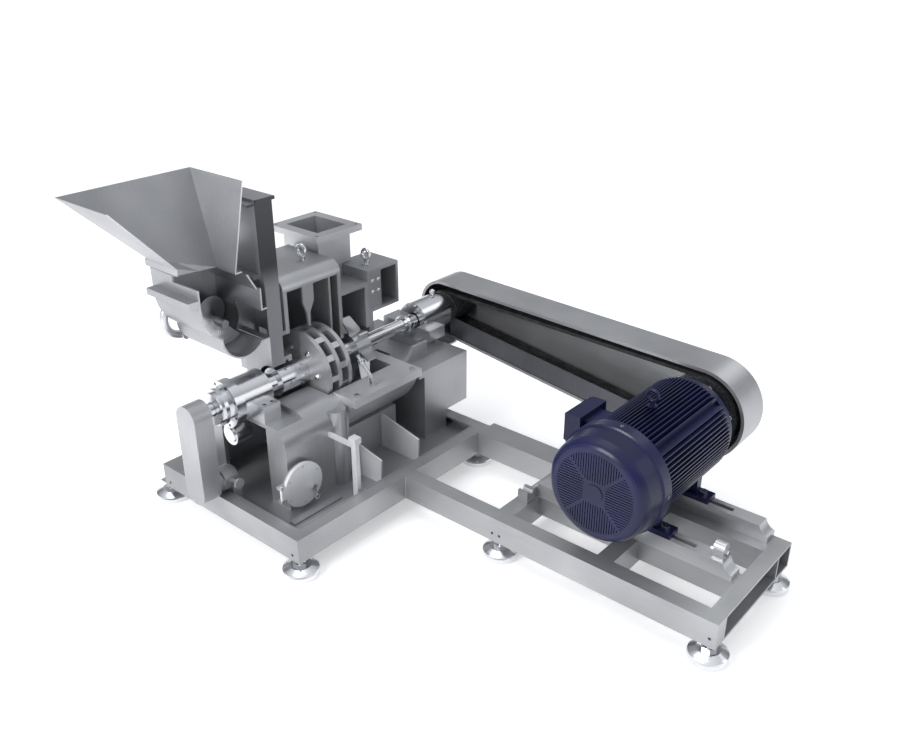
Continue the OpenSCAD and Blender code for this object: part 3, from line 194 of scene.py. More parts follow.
def grown(step: float, size: float = 1.0) -> None:
    """Extrudes the selected end along Z and then scales it about its own middle.

    Args:
        step: Metres to go up.
        size: Factor on the width of the new end.
    """
    bpy.ops.mesh.extrude_region_move(TRANSFORM_OT_translate={"value": (0.0, 0.0, step)})
    if size != 1.0:
        bpy.ops.transform.resize(value=(size, size, 1.0))


def turned(name: str, profile: Profile, sides: int = 40) -> bpy.types.Object:
    """Makes a closed turned body along Z by extruding and scaling a disc step by step.

    Args:
        name: What the piece is called.
        profile: Radius and height of each step in millimetres, from the low end.
        sides: How many flats its round has.

    Returns:
        The piece, at the origin.
    """
    nothing_selected()
    low_r, low_z = profile[0]
    bpy.ops.mesh.primitive_circle_add(
        vertices=sides, radius=low_r * MM, fill_type="NGON", location=(0.0, 0.0, low_z * MM)
    )
    bpy.ops.object.mode_set(mode="EDIT")
    bpy.ops.mesh.select_all(action="SELECT")
    for (r0, z0), (r1, z1) in zip(profile, profile[1:]):
        grown((z1 - z0) * MM, r1 / r0)
    bpy.ops.mesh.select_all(action="SELECT")
    bpy.ops.mesh.normals_make_consistent(inside=False)
    bpy.ops.object.mode_set(mode="OBJECT")
    return settled(name)


def hoop(name: str, points: list[Point], radius: float) -> bpy.types.Object:
    """Makes a round strip along a closed line, as a curve with a round section made a mesh.

    Args:
        name: What the piece is called.
        points: The line it follows, in layout millimetres.
        radius: Half of its thickness in millimetres.

    Returns:
        The piece.
    """
    data = bpy.data.curves.new(name, "CURVE")
    data.dimensions = "3D"
    data.bevel_depth = radius * MM
    data.bevel_resolution = 2
    spline = data.splines.new("POLY")
    spline.points.add(len(points) - 1)
    for knot, point in zip(spline.points, points):
        knot.co = (*at(*point), 1.0)
    spline.use_cyclic_u = True
    piece = bpy.data.objects.new(name, data)
    bpy.context.scene.collection.objects.link(piece)
    pick(piece)
    bpy.ops.object.convert(target="MESH")
    settled(name)
    bpy.ops.object.shade_smooth_by_angle(angle=math.radians(50))
    return piece


def eased(piece: bpy.types.Object, width: float, segments: int = 2) -> bpy.types.Object:
    """Breaks the sharp edges of a piece with a bevel and shades it smooth up to 35 degrees.

    Args:
        piece: The piece.
        width: Bevel width in millimetres.
        segments: Steps across the bevel.

    Returns:
        The same piece.
    """
    pick(piece)
    bevel = piece.modifiers.new("eased_edges", "BEVEL")
    bevel.width = width * MM
    bevel.segments = segments
    bevel.limit_method = "ANGLE"
    bpy.ops.object.modifier_apply(modifier=bevel.name)
    bpy.ops.object.shade_smooth_by_angle(angle=math.radians(35))
    return piece


def repeated(piece: bpy.types.Object, name: str, moves: list[Matrix]) -> bpy.types.Object:
    """Sets a copy of a piece at each place, each with its own mesh, and joins them.

    Args:
        piece: The piece as modelled at the origin. It is used up.
        name: What the joined piece is called.
        moves: Where each copy goes.

    Returns:
        The joined piece.
    """
    twins = []
    for move in moves:
        twin = piece.copy()
        twin.data = piece.data.copy()
        twin.data.transform(move)
        bpy.context.scene.collection.objects.link(twin)
        twins.append(twin)
    bpy.data.objects.remove(piece, do_unlink=True)
    return joined(twins, name)


def facing(place: Vector, normal: Point, turn: float = 0.0) -> Matrix:
    """Gives the move that sets a piece modelled along Z on a face.

    Args:
        place: Point on the face, in the frame.
        normal: Outward direction of the face.
        turn: Degrees to turn the piece about that direction.

    Returns:
        The move.
    """
    lean = Vector(normal).to_track_quat("Z", "Y").to_matrix().to_4x4()
    return Matrix.Translation(place) @ lean @ Matrix.Rotation(math.radians(turn), 4, "Z")


def on_circle(middle: tuple[float, float], y: float, radius: float, count: int, start: float,
              outward: float = -1.0) -> list[Matrix]:
    """Gives the seats of equal screws on a pitch circle about a line along Y.

    Args:
        middle: Layout x and z of the line.
        y: Layout y of the face.
        radius: Pitch radius in millimetres.
        count: How many seats.
        start: Degrees from X to the first seat.
        outward: Sign of the face's normal along Y.

    Returns:
        One move for each seat.
    """
    turns = [math.radians(start + 360 * k / count) for k in range(count)]
    return [
        facing(at(middle[0] + radius * math.cos(t), y, middle[1] + radius * math.sin(t)),
               (0.0, outward, 0.0), HEAD_STAGGER * k)
        for k, t in enumerate(turns)
    ]


class Head(Enum):
    """Kinds of screw head."""

    HEX = "hex"
    SOCKET = "socket"
    BUTTON = "button"


@dataclass
class Fastener:
    """The visible end of a screw, modelled along Z with its seat at zero."""

    thread_r: float
    head: Head = Head.HEX

    def made(self) -> bpy.types.Object:
        """Makes the screw's visible end and returns it."""
        makers = {Head.HEX: self.hex_head, Head.SOCKET: self.socket_head, Head.BUTTON: self.button_head}
        return makers[self.head]()

    def set_at(self, name: str, moves: list[Matrix]) -> bpy.types.Object:
        """Sets one screw on each seat and returns them as one piece.

        Args:
            name: What the set is called.
            moves: The seats.

        Returns:
            The joined screws.
        """
        return repeated(self.made(), name, moves)

    def hex_head(self) -> bpy.types.Object:
        """Makes a chamfered hexagon head on a washer and returns it."""
        r = self.thread_r
        seat = 0.3 * r
        head = turned("hex_head", [
            (1.75 * r, seat), (1.85 * r, seat + 0.15 * r), (1.85 * r, seat + 1.1 * r),
            (1.55 * r, seat + 1.3 * r), (0.6 * r, seat + 1.34 * r),
        ], sides=6)
        washer = turned("washer", [
            (2.1 * r, 0.0), (2.2 * r, 0.08 * r), (2.2 * r, 0.22 * r), (2.1 * r, seat),
        ])
        return joined([washer, eased(head, 0.06 * r)], "hex_head")

    def socket_head(self) -> bpy.types.Object:
        """Makes a cylinder head with a socket and returns it."""
        r = self.thread_r
        return eased(turned("socket_head", [
            (1.5 * r, 0.0), (1.6 * r, 0.1 * r), (1.6 * r, 1.5 * r), (1.45 * r, 1.65 * r),
            (0.85 * r, 1.65 * r), (0.82 * r, 0.8 * r), (0.1 * r, 0.7 * r),
        ], sides=24), 0.03 * r, 1)

    def button_head(self) -> bpy.types.Object:
        """Makes a low round head with a socket and returns it."""
        r = self.thread_r
        return turned("button_head", [
            (1.9 * r, 0.0), (1.85 * r, 0.3 * r), (1.5 * r, 0.75 * r), (0.95 * r, 0.98 * r),
            (0.7 * r, 0.98 * r), (0.68 * r, 0.4 * r), (0.1 * r, 0.35 * r),
        ], sides=24)


@dataclass(frozen=True)
class Finish:
    """A surface finish: the colour, metal and gloss of one real material."""

    name: str
    colour: str
    roughness: float
    metallic: float = 1.0

    def build(self) -> bpy.types.Material:
        """Makes the material and returns it."""
        material = bpy.data.materials.new(self.name)
        material.use_nodes = True
        tree = material.node_tree
        tree.nodes.clear()
        shader = add_node(tree, "ShaderNodeBsdfPrincipled", None, {"Metallic": self.metallic})
        self.paint(tree, shader)
        add_node(tree, "ShaderNodeOutputMaterial", None, {"Surface": shader.outputs["BSDF"]})
        return material

    def paint(self, tree: bpy.types.NodeTree, shader: bpy.types.Node) -> None:
        """Sets the plain colour and roughness on the shader."""
        shader.inputs["Base Color"].default_value = linear(self.colour)
        shader.inputs["Roughness"].default_value = self.roughness


@dataclass(frozen=True)
class BrushedSteel(Finish):
    """Stainless sheet and bar, brushed: fine parallel scratches that blur what it mirrors."""

    metallic: float = 0.68
    grain: Grain = Grain.ALONG_X
    shade: str = "#a3a4a6"
    scratch_pitch: float = 5.0
    cloud_size: float = 420.0
    line_share: float = 0.35
    scratch_strength: float = 0.05
    scratch_height: float = 0.5
    gloss_swing: float = 0.07

    def paint(self, tree: bpy.types.NodeTree, shader: bpy.types.Node) -> None:
        """Adds scratches drawn 5 mm apart, since real ones would not show, and slow clouds of tone."""
        place = add_node(tree, "ShaderNodeTexCoord").outputs["Object"]
        drawn = add_node(tree, "ShaderNodeMapping", None, {"Vector": place, "Scale": self.grain.value})
        lines = add_node(
            tree, "ShaderNodeTexNoise", None,
            {"Vector": drawn.outputs["Vector"], "Detail": 3.0, "Roughness": 0.6,
             "Scale": 1 / (SCRATCH_STRETCH * self.scratch_pitch * MM)},
        )
        clouds = add_node(
            tree, "ShaderNodeTexNoise", None,
            {"Vector": place, "Scale": 1 / (self.cloud_size * MM), "Detail": 2.0},
        )
        tone = add_node(
            tree, "ShaderNodeMath", {"operation": "MULTIPLY_ADD"},
            {0: lines.outputs["Fac"], 1: self.line_share, 2: clouds.outputs["Fac"]},
        )
        colour = add_node(tree, "ShaderNodeValToRGB", None, {"Fac": tone.outputs["Value"]})
        shades(colour, [(0.3, self.shade), (1.0, self.colour)])
        gloss = add_node(
            tree, "ShaderNodeMapRange", None,
            {"Value": lines.outputs["Fac"], "To Min": self.roughness - self.gloss_swing,
             "To Max": self.roughness + self.gloss_swing},
        )
        bump = add_node(
            tree, "ShaderNodeBump", None,
            {"Strength": self.scratch_strength, "Distance": self.scratch_height * MM,
             "Height": lines.outputs["Fac"]},
        )
        tree.links.new(colour.outputs["Color"], shader.inputs["Base Color"])
        tree.links.new(gloss.outputs["Result"], shader.inputs["Roughness"])
        tree.links.new(bump.outputs["Normal"], shader.inputs["Normal"])


@dataclass(frozen=True)
class SectionedSheet(BrushedSteel):
    """Brushed sheet sawn open on an upright plane, whose cut faces carry painted light.

    The cut faces stand at cut_x and get a pale painted highlight, which stays bright though they face away
    from the lamps. Higher up, their tone turns to a darker painted shade between a low and a high height,
    all in the frame's metres.
    """

    cut_x: float = -0.8579
    # Painted highlight: the tone of the cut faces, pale by default, so that they stay bright though they
    # face away from the lamps.
    cut_colour: str = "#eeeff1"
    # Painted shade: the darker tone that the cut faces turn to higher up, between the two heights below.
    painted_shade_colour: str = "#eeeff1"
    painted_shade_low: float = 1.0
    painted_shade_high: float = 1.3

    def paint(self, tree: bpy.types.NodeTree, shader: bpy.types.Node) -> None:
        """Paints the highlight on the cut faces over the brushed tone, turning to painted shade higher up.
        """
        super().paint(tree, shader)
        brushed = shader.inputs["Base Color"].links[0].from_socket
        place = add_node(tree, "ShaderNodeTexCoord").outputs["Object"]
        parts = add_node(tree, "ShaderNodeSeparateXYZ", None, {"Vector": place})
        height = add_node(
            tree, "ShaderNodeMapRange", {"interpolation_type": "SMOOTHSTEP"},
            {"Value": parts.outputs["Z"], "From Min": self.painted_shade_low, "From Max": self.painted_shade_high},
        )
        cut = add_node(tree, "ShaderNodeValToRGB", None, {"Fac": height.outputs["Result"]})
        shades(cut, [(0.0, self.cut_colour), (1.0, self.painted_shade_colour)])
        # Only faces past cut_x, which are the cut faces, take the painted highlight and the painted shade.
        near = add_node(
            tree, "ShaderNodeMath", {"operation": "GREATER_THAN"}, {0: parts.outputs["X"], 1: self.cut_x})
        factor_in, first_in, second_in, colour_out = 0, 6, 7, 2
        mixed = add_node(
            tree, "ShaderNodeMix", {"data_type": "RGBA"},
            {factor_in: near.outputs["Value"], first_in: brushed, second_in: cut.outputs["Color"]},
        )
        tree.links.new(mixed.outputs[colour_out], shader.inputs["Base Color"])


@dataclass(frozen=True)
class TurnedMetal(Finish):
    """Ground and polished steel or hard chrome: a bright mirror with faint smears of handling."""

    smear_size: float = 90.0
    smear: float = 0.06

    def paint(self, tree: bpy.types.NodeTree, shader: bpy.types.Node) -> None:
        """Adds smears that change only the gloss."""
        place = add_node(tree, "ShaderNodeTexCoord").outputs["Object"]
        smears = add_node(
            tree, "ShaderNodeTexNoise", None,
            {"Vector": place, "Scale": 1 / (self.smear_size * MM), "Detail": 4.0, "Distortion": 0.6},
        )
        gloss = add_node(
            tree, "ShaderNodeMapRange", None,
            {"Value": smears.outputs["Fac"], "To Min": self.roughness,
             "To Max": self.roughness + self.smear},
        )
        shader.inputs["Base Color"].default_value = linear(self.colour)
        tree.links.new(gloss.outputs["Result"], shader.inputs["Roughness"])


@dataclass(frozen=True)
class CastMetal(Finish):
    """Cast iron, machined then oiled: dark grey with a fine pitted skin."""

    shade: str = "#4a4b50"
    pit_size: float = 7.0
    pit_strength: float = 0.2
    pit_depth: float = 0.6

    def paint(self, tree: bpy.types.NodeTree, shader: bpy.types.Node) -> None:
        """Adds pits drawn 7 mm wide, so that they show from a few metres."""
        place = add_node(tree, "ShaderNodeTexCoord").outputs["Object"]
        pits = add_node(
            tree, "ShaderNodeTexNoise", None,
            {"Vector": place, "Scale": 1 / (self.pit_size * MM), "Detail": 5.0},
        )
        colour = add_node(tree, "ShaderNodeValToRGB", None, {"Fac": pits.outputs["Fac"]})
        shades(colour, [(0.35, self.shade), (0.7, self.colour)])
        bump = add_node(
            tree, "ShaderNodeBump", None,
            {"Strength": self.pit_strength, "Distance": self.pit_depth * MM,
             "Height": pits.outputs["Fac"]},
        )
        shader.inputs["Roughness"].default_value = self.roughness
        tree.links.new(colour.outputs["Color"], shader.inputs["Base Color"])
        tree.links.new(bump.outputs["Normal"], shader.inputs["Normal"])


@dataclass(frozen=True)
class SprayedEnamel(Finish):
    """Sprayed machine enamel: a wet-looking coat with a slight orange peel."""

    metallic: float = 0.0
    shade: str = "#131534"
    peel_size: float = 9.0
    peel_strength: float = 0.12
    peel_height: float = 0.4
    drift_size: float = 250.0
    mirror: float = 0.3
    coat: float = 0.12
    coat_roughness: float = 0.12

    def paint(self, tree: bpy.types.NodeTree, shader: bpy.types.Node) -> None:
        """Adds the peel as bump and a slow change of tone."""
        place = add_node(tree, "ShaderNodeTexCoord").outputs["Object"]
        peel = add_node(
            tree, "ShaderNodeTexNoise", None,
            {"Vector": place, "Scale": 1 / (self.peel_size * MM), "Detail": 1.0},
        )
        drift = add_node(
            tree, "ShaderNodeTexNoise", None,
            {"Vector": place, "Scale": 1 / (self.drift_size * MM), "Detail": 2.0},
        )
        colour = add_node(tree, "ShaderNodeValToRGB", None, {"Fac": drift.outputs["Fac"]})
        shades(colour, [(0.3, self.shade), (0.7, self.colour)])
        bump = add_node(
            tree, "ShaderNodeBump", None,
            {"Strength": self.peel_strength, "Distance": self.peel_height * MM,
             "Height": peel.outputs["Fac"]},
        )
        shader.inputs["Roughness"].default_value = self.roughness
        shader.inputs["Specular IOR Level"].default_value = self.mirror
        shader.inputs["Coat Weight"].default_value = self.coat
        shader.inputs["Coat Roughness"].default_value = self.coat_roughness
        tree.links.new(colour.outputs["Color"], shader.inputs["Base Color"])
        tree.links.new(bump.outputs["Normal"], shader.inputs["Normal"])


@dataclass(frozen=True)
class BeltRubber(Finish):
    """Moulded driving-belt rubber with a cloth face: near black, dull, slightly dusty."""

    metallic: float = 0.0
    dust: str = "#3a3a3c"
    dust_scale: float = 22.0

    def paint(self, tree: bpy.types.NodeTree, shader: bpy.types.Node) -> None:
        """Adds dust in soft patches."""
        place = add_node(tree, "ShaderNodeTexCoord").outputs["Object"]
        patches = add_node(
            tree, "ShaderNodeTexNoise", None, {"Vector": place, "Scale": self.dust_scale, "Detail": 5.0})
        colour = add_node(tree, "ShaderNodeValToRGB", None, {"Fac": patches.outputs["Fac"]})
        shades(colour, [(0.42, self.colour), (0.75, self.dust)])
        shader.inputs["Roughness"].default_value = self.roughness
        tree.links.new(colour.outputs["Color"], shader.inputs["Base Color"])


@dataclass
class Wardrobe:
    """Every finish on the machine, and the solids that wear it."""

    beam: Finish = BrushedSteel("brushed_steel_beam", "#babbbd", 0.38, shade="#8e8f92")
    plate_x: Finish = BrushedSteel("brushed_steel_sheet", "#c2c3c6", 0.36, shade="#97989b")
    plate_z: Finish = BrushedSteel("brushed_steel_upright_sheet", "#bcbdc0", 0.36, grain=Grain.ALONG_Z,
                                   shade="#909195")
    plate_y: Finish = BrushedSteel("brushed_steel_cross_sheet", "#d2d3d6", 0.4, grain=Grain.ALONG_Y,
                                   shade="#b0b1b4")
    # The hopper and the trough get a near-white painted highlight on their cut faces.
    sawn: Finish = SectionedSheet("sawn_sheet_painted_highlight", "#bcbdc0", 0.36, grain=Grain.ALONG_Z, shade="#909195")
    # On the chute, the cut faces are painted mid grey below and turn to a near-black painted shade towards
    # the top.
    chute: Finish = SectionedSheet(
        "sawn_chute_painted_shade", "#bcbdc0", 0.36, grain=Grain.ALONG_Z, shade="#909195",
        cut_colour="#a2a3a7", painted_shade_colour="#4e4f52", painted_shade_low=1.12, painted_shade_high=1.25)
    # Painted light: the casing legs and the clean-out cover face away from the lamps, so their steel is
    # painted near white and made less metallic to render bright.
    light: Finish = BrushedSteel("pale_plate_painted_light", "#eff0f2", 0.42, 0.45, grain=Grain.ALONG_Z,
                                 shade="#d6d7da")
    rail: Finish = BrushedSteel("milled_steel_rail", "#d2d3d6", 0.36, shade="#adaeb1")
    deck: Finish = BrushedSteel("brushed_steel_deck", "#b4b5b8", 0.42, shade="#8f9094")
    # Darker steel: real blackened steel on the fan cover's screws, and painted shade on the guard's front
    # plate and on the cooling fan inside its cover.
    inner: Finish = BrushedSteel("blackened_steel_and_painted_shade", "#808186", 0.38, shade="#57585d", grain=Grain.ALONG_Z)
    disc: Finish = BrushedSteel("turned_disc_steel", "#c8c9cc", 0.32, 0.65, shade="#a3a4a8")
    chrome: Finish = TurnedMetal("hard_chrome", "#dfe0e3", 0.16, 1.0)
    ground: Finish = TurnedMetal("ground_steel", "#cfd0d3", 0.26, 0.9)
    cast: Finish = CastMetal("oiled_cast_iron", "#808287", 0.42, 0.7)
    paint: Finish = SprayedEnamel("navy_enamel", "#1a1e49", 0.36)
    rubber: Finish = BeltRubber("belt_rubber", "#1b1b1d", 0.72)
    made: dict[str, bpy.types.Material] = field(default_factory=dict)

    def material(self, finish: Finish) -> bpy.types.Material:
        """Gives the material of a finish, made once."""
        if finish.name not in self.made:
            self.made[finish.name] = finish.build()
        return self.made[finish.name]

    def wear(self, piece: bpy.types.Object, finish: Finish) -> None:
        """Puts a finish in every material slot of a piece.

        Args:
            piece: The piece or carried-over solid.
            finish: What it is made of.
        """
        material = self.material(finish)
        if not piece.material_slots:
            piece.data.materials.append(material)
        for slot in piece.material_slots:
            slot.material = material

    def dress_solids(self) -> None:
        """Gives each carried-over solid the finish of the real part."""
        wearers: list[tuple[Finish, tuple[str, ...]]] = [
            (self.beam, ("mill_base_frame", "motor_base_frame")),
            (self.plate_x, ("guard_shell", "guard_brackets", "upper_casing", "oil_pump", "cleanout_neck")),
            (self.plate_z, ("feed_end_stand", "drive_end_pedestal", "drive_end_box", "take_off_cover")),
            (self.plate_y, ("lower_casing", "outlet_duct")),
            (self.sawn, ("hopper", "feeder_trough")),
            (self.chute, ("feed_chute",)),
            (self.light, ("casing_legs", "cleanout_cover")),
            (self.rail, ("front_slide_rail", "rear_slide_rail")),
            (self.deck, ("mill_deck", "casing_partition")),
            (self.inner, ("guard_front_plate", "motor_cooling_fan")),
            (self.disc, ("rotor_discs",)),
            (self.chrome, ("foot_pads", "foot_studs", "rail_adjusting_bolts", "motor_foot_bolts",
                           "main_shaft", "rotor_sleeve", "feed_bearing_cap", "feed_bearing_ring",
                           "feed_end_flange", "drive_bearing_cap", "drive_bearing_ring", "oil_pot",
                           "cleanout_clamp", "swing_bolt", "lifting_eye_bolts", "joint_bolts")),
            (self.ground, ("motor_shaft", "impact_hammers", "fan_wheel", "feed_bearing_base",
                           "drive_bearing_base", "feed_screw", "bow_handle", "pump_shaft")),
            (self.cast, ("motor_rotor_core", "motor_pulley", "mill_pulley", "take_off_pulley")),
            (self.paint, ("motor_frame", "motor_fan_cover", "motor_end_shield", "motor_terminal_box",
                          "motor_lifting_eye")),
            (self.rubber, ("v_belts", "take_off_belt")),
        ]
        for finish, nodes in wearers:
            for node in nodes:
                self.wear(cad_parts[node], finish)
        LOG.info("dressed %d solids", sum(len(nodes) for _, nodes in wearers))


@dataclass
class Fittings:
    """Small pieces of one sub-assembly, with the finishes that they wear."""

    wardrobe: Wardrobe
    weld_r: float = 3.5
    ripple: float = 9.0
    ripple_waist: float = 0.8
    least_ripples: int = 4

    def keep(self, piece: bpy.types.Object, finish: Finish, body: str = "machine",
             slot: str = "chrome") -> None:
        """Dresses a finished piece and lets it ride on its body.

        Args:
            piece: The piece.
            finish: What it is made of.
            body: The body that carries it.
            slot: Not used.
        """
        self.wardrobe.wear(piece, finish)
        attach(piece, body)
        LOG.info("made %s", piece.name)

    def bead(self, name: str, runs: list[tuple[Point, Point]]) -> None:
        """Lays rippled weld beads along straight joints.

        Args:
            name: What the set is called.
            runs: Start and end of each bead, in layout millimetres.
        """
        beads = []
        widths = (self.weld_r * self.ripple_waist, self.weld_r)
        for start, end in runs:
            a, b = at(*start), at(*end)
            length = (b - a).length / MM
            steps = max(self.least_ripples, round(length / self.ripple))
            profile = [(widths[i % 2], length * i / steps) for i in range(steps + 1)]
            bead = turned("bead", profile, sides=8)
            bead.data.transform(facing(a, tuple((b - a).normalized())))
            beads.append(bead)
        self.keep(joined(beads, name), self.wardrobe.beam, slot="frame_steel")


@dataclass
class RotorFittings(Fittings):
    """Tie bolts through the hammer discs and the collars on the shaft."""

    stack_y0: float = 575.0
    stack_y1: float = 727.0
    tie_circle: float = 120.0
    tie_count: int = 6
    tie_r: float = 8.0
    tie_chamfer: float = 1.0
    tie_nut_thread_r: float = 6.5
    lock_nut_y: float = 728.0
    lock_nut: Profile = ((60.0, 0.0), (68.0, 3.0), (68.0, 22.0), (60.0, 25.0))
    flinger_y: float = 1302.0
    flinger: Profile = (
        (44.0, 0.0), (53.0, 3.0), (53.0, 8.0), (46.0, 11.0), (46.0, 15.0), (53.0, 18.0), (53.0, 23.0),
        (44.0, 26.0),
    )

    def build(self) -> None:
        """Makes every fitting that turns with the rotor."""
        length = self.stack_y1 - self.stack_y0
        end_r = self.tie_r - self.tie_chamfer
        tie = turned("tie_rod", [
            (end_r, 0.0), (self.tie_r, self.tie_chamfer), (self.tie_r, length - self.tie_chamfer),
            (end_r, length),
        ], sides=20)
        rods = repeated(tie, "disc_tie_rods", on_circle(
            SHAFT_AXIS, self.stack_y0, self.tie_circle, self.tie_count, 0.0, outward=1.0))
        self.keep(rods, self.wardrobe.ground, "rotor", "bright_steel")
        ends = (("front_tie_nuts", self.stack_y0, -1.0), ("rear_tie_nuts", self.stack_y1, 1.0))
        for name, y, outward in ends:
            nuts = Fastener(self.tie_nut_thread_r).set_at(name, on_circle(
                SHAFT_AXIS, y, self.tie_circle, self.tie_count, 0.0, outward))
            self.keep(nuts, self.wardrobe.chrome, "rotor")
        self.collar(eased(turned("shaft_lock_nut", self.lock_nut, sides=12), 1.0), self.lock_nut_y)
        self.collar(eased(turned("oil_flinger", self.flinger), 0.8), self.flinger_y)

    def collar(self, piece: bpy.types.Object, y: float) -> None:
        """Slides a round piece onto the shaft.

        Args:
            piece: The piece, modelled along Z from zero.
            y: Layout y of its near face.
        """
        piece.data.transform(facing(at(SHAFT_AXIS[0], y, SHAFT_AXIS[1]), (0.0, 1.0, 0.0)))
        self.keep(piece, self.wardrobe.chrome, "rotor")


@dataclass
class BearingFittings(Fittings):
    """Screws of the drive end bearing's cover."""

    screw_thread_r: float = 4.5
    screw_count: int = 10
    screw_start: float = 9.0
    cover_circle: float = 91.0
    cover_y: float = 1395.0

    def build(self) -> None:
        """Makes the cover's screws."""
        seats = on_circle(SHAFT_AXIS, self.cover_y, self.cover_circle, self.screw_count, self.screw_start)
        cover = Fastener(self.screw_thread_r, Head.SOCKET).set_at("bearing_cover_screws", seats)
        self.keep(cover, self.wardrobe.chrome)


@dataclass
class CasingFittings(Fittings):
    """Screws of the drive end box, and the welds of the stand and the pedestal."""

    plate_x: float = -576.0
    plate_y: tuple[float, float] = (1088.0, 1130.0)
    plate_z: tuple[float, float] = (912.0, 972.0)
    plate_thread_r: float = 6.0
    stand_x: tuple[float, float] = (-884.0, -276.0)
    stand_y: tuple[float, float] = (199.0, 595.0)
    front_weld: float = 130.0
    corner_gap: float = 2.0
    deck_z: float = 151.0
    pedestal_x: float = -250.0
    pedestal_y: tuple[float, float] = (1117.0, 1287.0)

    def build(self) -> None:
        """Makes the casing's screws and welds."""
        seats = [facing(at(self.plate_x, y, z), (1.0, 0.0, 0.0))
                 for y in self.plate_y for z in self.plate_z]
        screws = Fastener(self.plate_thread_r, Head.BUTTON).set_at("box_plate_screws", seats)
        self.keep(screws, self.wardrobe.chrome)
        x0, x1 = self.stand_x
        y0, y1 = self.stand_y
        self.bead("stand_welds", [
            ((x1, y0 + self.corner_gap, self.deck_z), (x1, y1 - self.corner_gap, self.deck_z)),
            ((x1 - self.front_weld, y0, self.deck_z), (x1, y0, self.deck_z)),
            ((x0, y0, self.deck_z), (x0 + self.front_weld, y0, self.deck_z)),
        ])
        y0, y1 = self.pedestal_y
        x1 = self.pedestal_x
        self.bead("pedestal_welds", [((x1, y0, self.deck_z), (x1, y1, self.deck_z))])


@dataclass
class MotorFittings(Fittings):
    """Screws of the fan cover, the end shield and the terminal box, and the cable entries."""

    cover_r: float = 255.0
    cover_screw_y: float = 893.0
    cover_screw_turns: tuple[float, ...] = (2.0, 87.0, 182.0, 267.0)
    cover_thread_r: float = 5.0
    shield_y: float = 1546.0
    shield_circle: float = 207.0
    shield_screw_count: int = 8
    shield_screw_start: float = 22.5
    shield_thread_r: float = 6.0
    lid_thread_r: float = 4.5
    lid_x: float = 711.0
    lid_y: tuple[float, float] = (988.0, 1166.0)
    lid_z: tuple[float, float] = (578.0, 688.0)
    entry_x: float = 760.0
    entry_y: tuple[float, float] = (1035.0, 1119.0)
    entry_z: float = 561.0
    entry: Profile = ((26.0, 0.0), (26.0, 5.0), (21.0, 6.0), (21.0, 20.0), (17.0, 24.0), (12.0, 25.0))

    def build(self) -> None:
        """Makes the motor's small parts."""
        x, z = MOTOR_AXIS
        band = []
        for turn in self.cover_screw_turns:
            c, s = math.cos(math.radians(turn)), math.sin(math.radians(turn))
            seat = at(x + self.cover_r * c, self.cover_screw_y, z + self.cover_r * s)
            band.append(facing(seat, (c, 0.0, s)))
        cover = Fastener(self.cover_thread_r, Head.BUTTON).set_at("fan_cover_screws", band)
        self.keep(cover, self.wardrobe.inner, slot="dark_steel")
        shield = Fastener(self.shield_thread_r).set_at("end_shield_screws", on_circle(
            MOTOR_AXIS, self.shield_y, self.shield_circle, self.shield_screw_count,
            self.shield_screw_start, outward=1.0))
        self.keep(shield, self.wardrobe.chrome)
        lid = Fastener(self.lid_thread_r).set_at("terminal_lid_screws", [
            facing(at(self.lid_x, y, z), (-1.0, 0.0, 0.0)) for y in self.lid_y for z in self.lid_z])
        self.keep(lid, self.wardrobe.chrome)
        plug = eased(turned("cable_entry", self.entry, sides=6), 1.0)
        entries = repeated(plug, "cable_entries", [
            facing(at(self.entry_x, y, self.entry_z), (0.0, 0.0, -1.0)) for y in self.entry_y])
        self.keep(entries, self.wardrobe.chrome)


@dataclass
class GuardFittings(Fittings):
    """Rubber edging on the belt guard's lip."""

    mill_r: float = 157.0
    motor_r: float = 235.0
    lip: float = 16.0
    face_y: float = 1635.0
    edging_r: float = 2.6
    arc_steps: int = 24

    def outline(self, inset: float) -> list[Point]:
        """Gives the guard's outline as two arcs, pulled in by an inset.

        Args:
            inset: Distance inside the outer face in millimetres.

        Returns:
            Layout points round the loop.
        """
        step_x, step_z = MOTOR_AXIS[0] - SHAFT_AXIS[0], MOTOR_AXIS[1] - SHAFT_AXIS[1]
        lean = math.atan2(step_z, step_x)
        spread = math.acos((self.mill_r - self.motor_r) / math.hypot(step_x, step_z))
        loop = []
        for middle, r, start, end in (
            (MOTOR_AXIS, self.motor_r - inset, lean - spread, lean + spread),
            (SHAFT_AXIS, self.mill_r - inset, lean + spread, lean - spread + 2 * math.pi),
        ):
            for k in range(self.arc_steps + 1):
                t = start + (end - start) * k / self.arc_steps
                loop.append((middle[0] + r * math.cos(t), self.face_y + self.edging_r,
                             middle[1] + r * math.sin(t)))
        return loop

    def build(self) -> None:
        """Makes the guard's edging."""
        edging = hoop("guard_edging", self.outline(self.lip), self.edging_r)
        self.keep(edging, self.wardrobe.rubber, slot="belt_rubber")


@dataclass
class BaseFittings(Fittings):
    """Welds where the base's members meet."""

    low_z: float = 96.0
    high_z: float = 213.0
    front_y: float = 770.0
    cross_x: tuple[float, ...] = (519.0, 599.0, 1050.0, 1130.0)
    mill_corner: tuple[float, float] = (0.0, 692.0)

    def build(self) -> None:
        """Makes the base's welds."""
        runs = [((x, self.front_y, self.low_z), (x, self.front_y, self.high_z)) for x in self.cross_x]
        x, y = self.mill_corner
        runs.append(((x, y, self.low_z), (x, y, self.high_z)))
        self.bead("base_welds", runs)


@dataclass(frozen=True)
class SoftBox:
    """A square lamp: its power in watts, its side in metres and where it hangs in the frame."""

    name: str
    power: float
    side: float
    place: Point

    def hang(self, aim: Vector) -> None:
        """Hangs the lamp.

        Args:
            aim: The point that it looks at.
        """
        data = bpy.data.lights.new(self.name, "AREA")
        data.energy = self.power
        data.size = self.side
        lamp = bpy.data.objects.new(self.name, data)
        lamp.location = self.place
        lamp.rotation_euler = (aim - Vector(self.place)).to_track_quat("-Z", "Y").to_euler()
        bpy.context.scene.collection.objects.link(lamp)


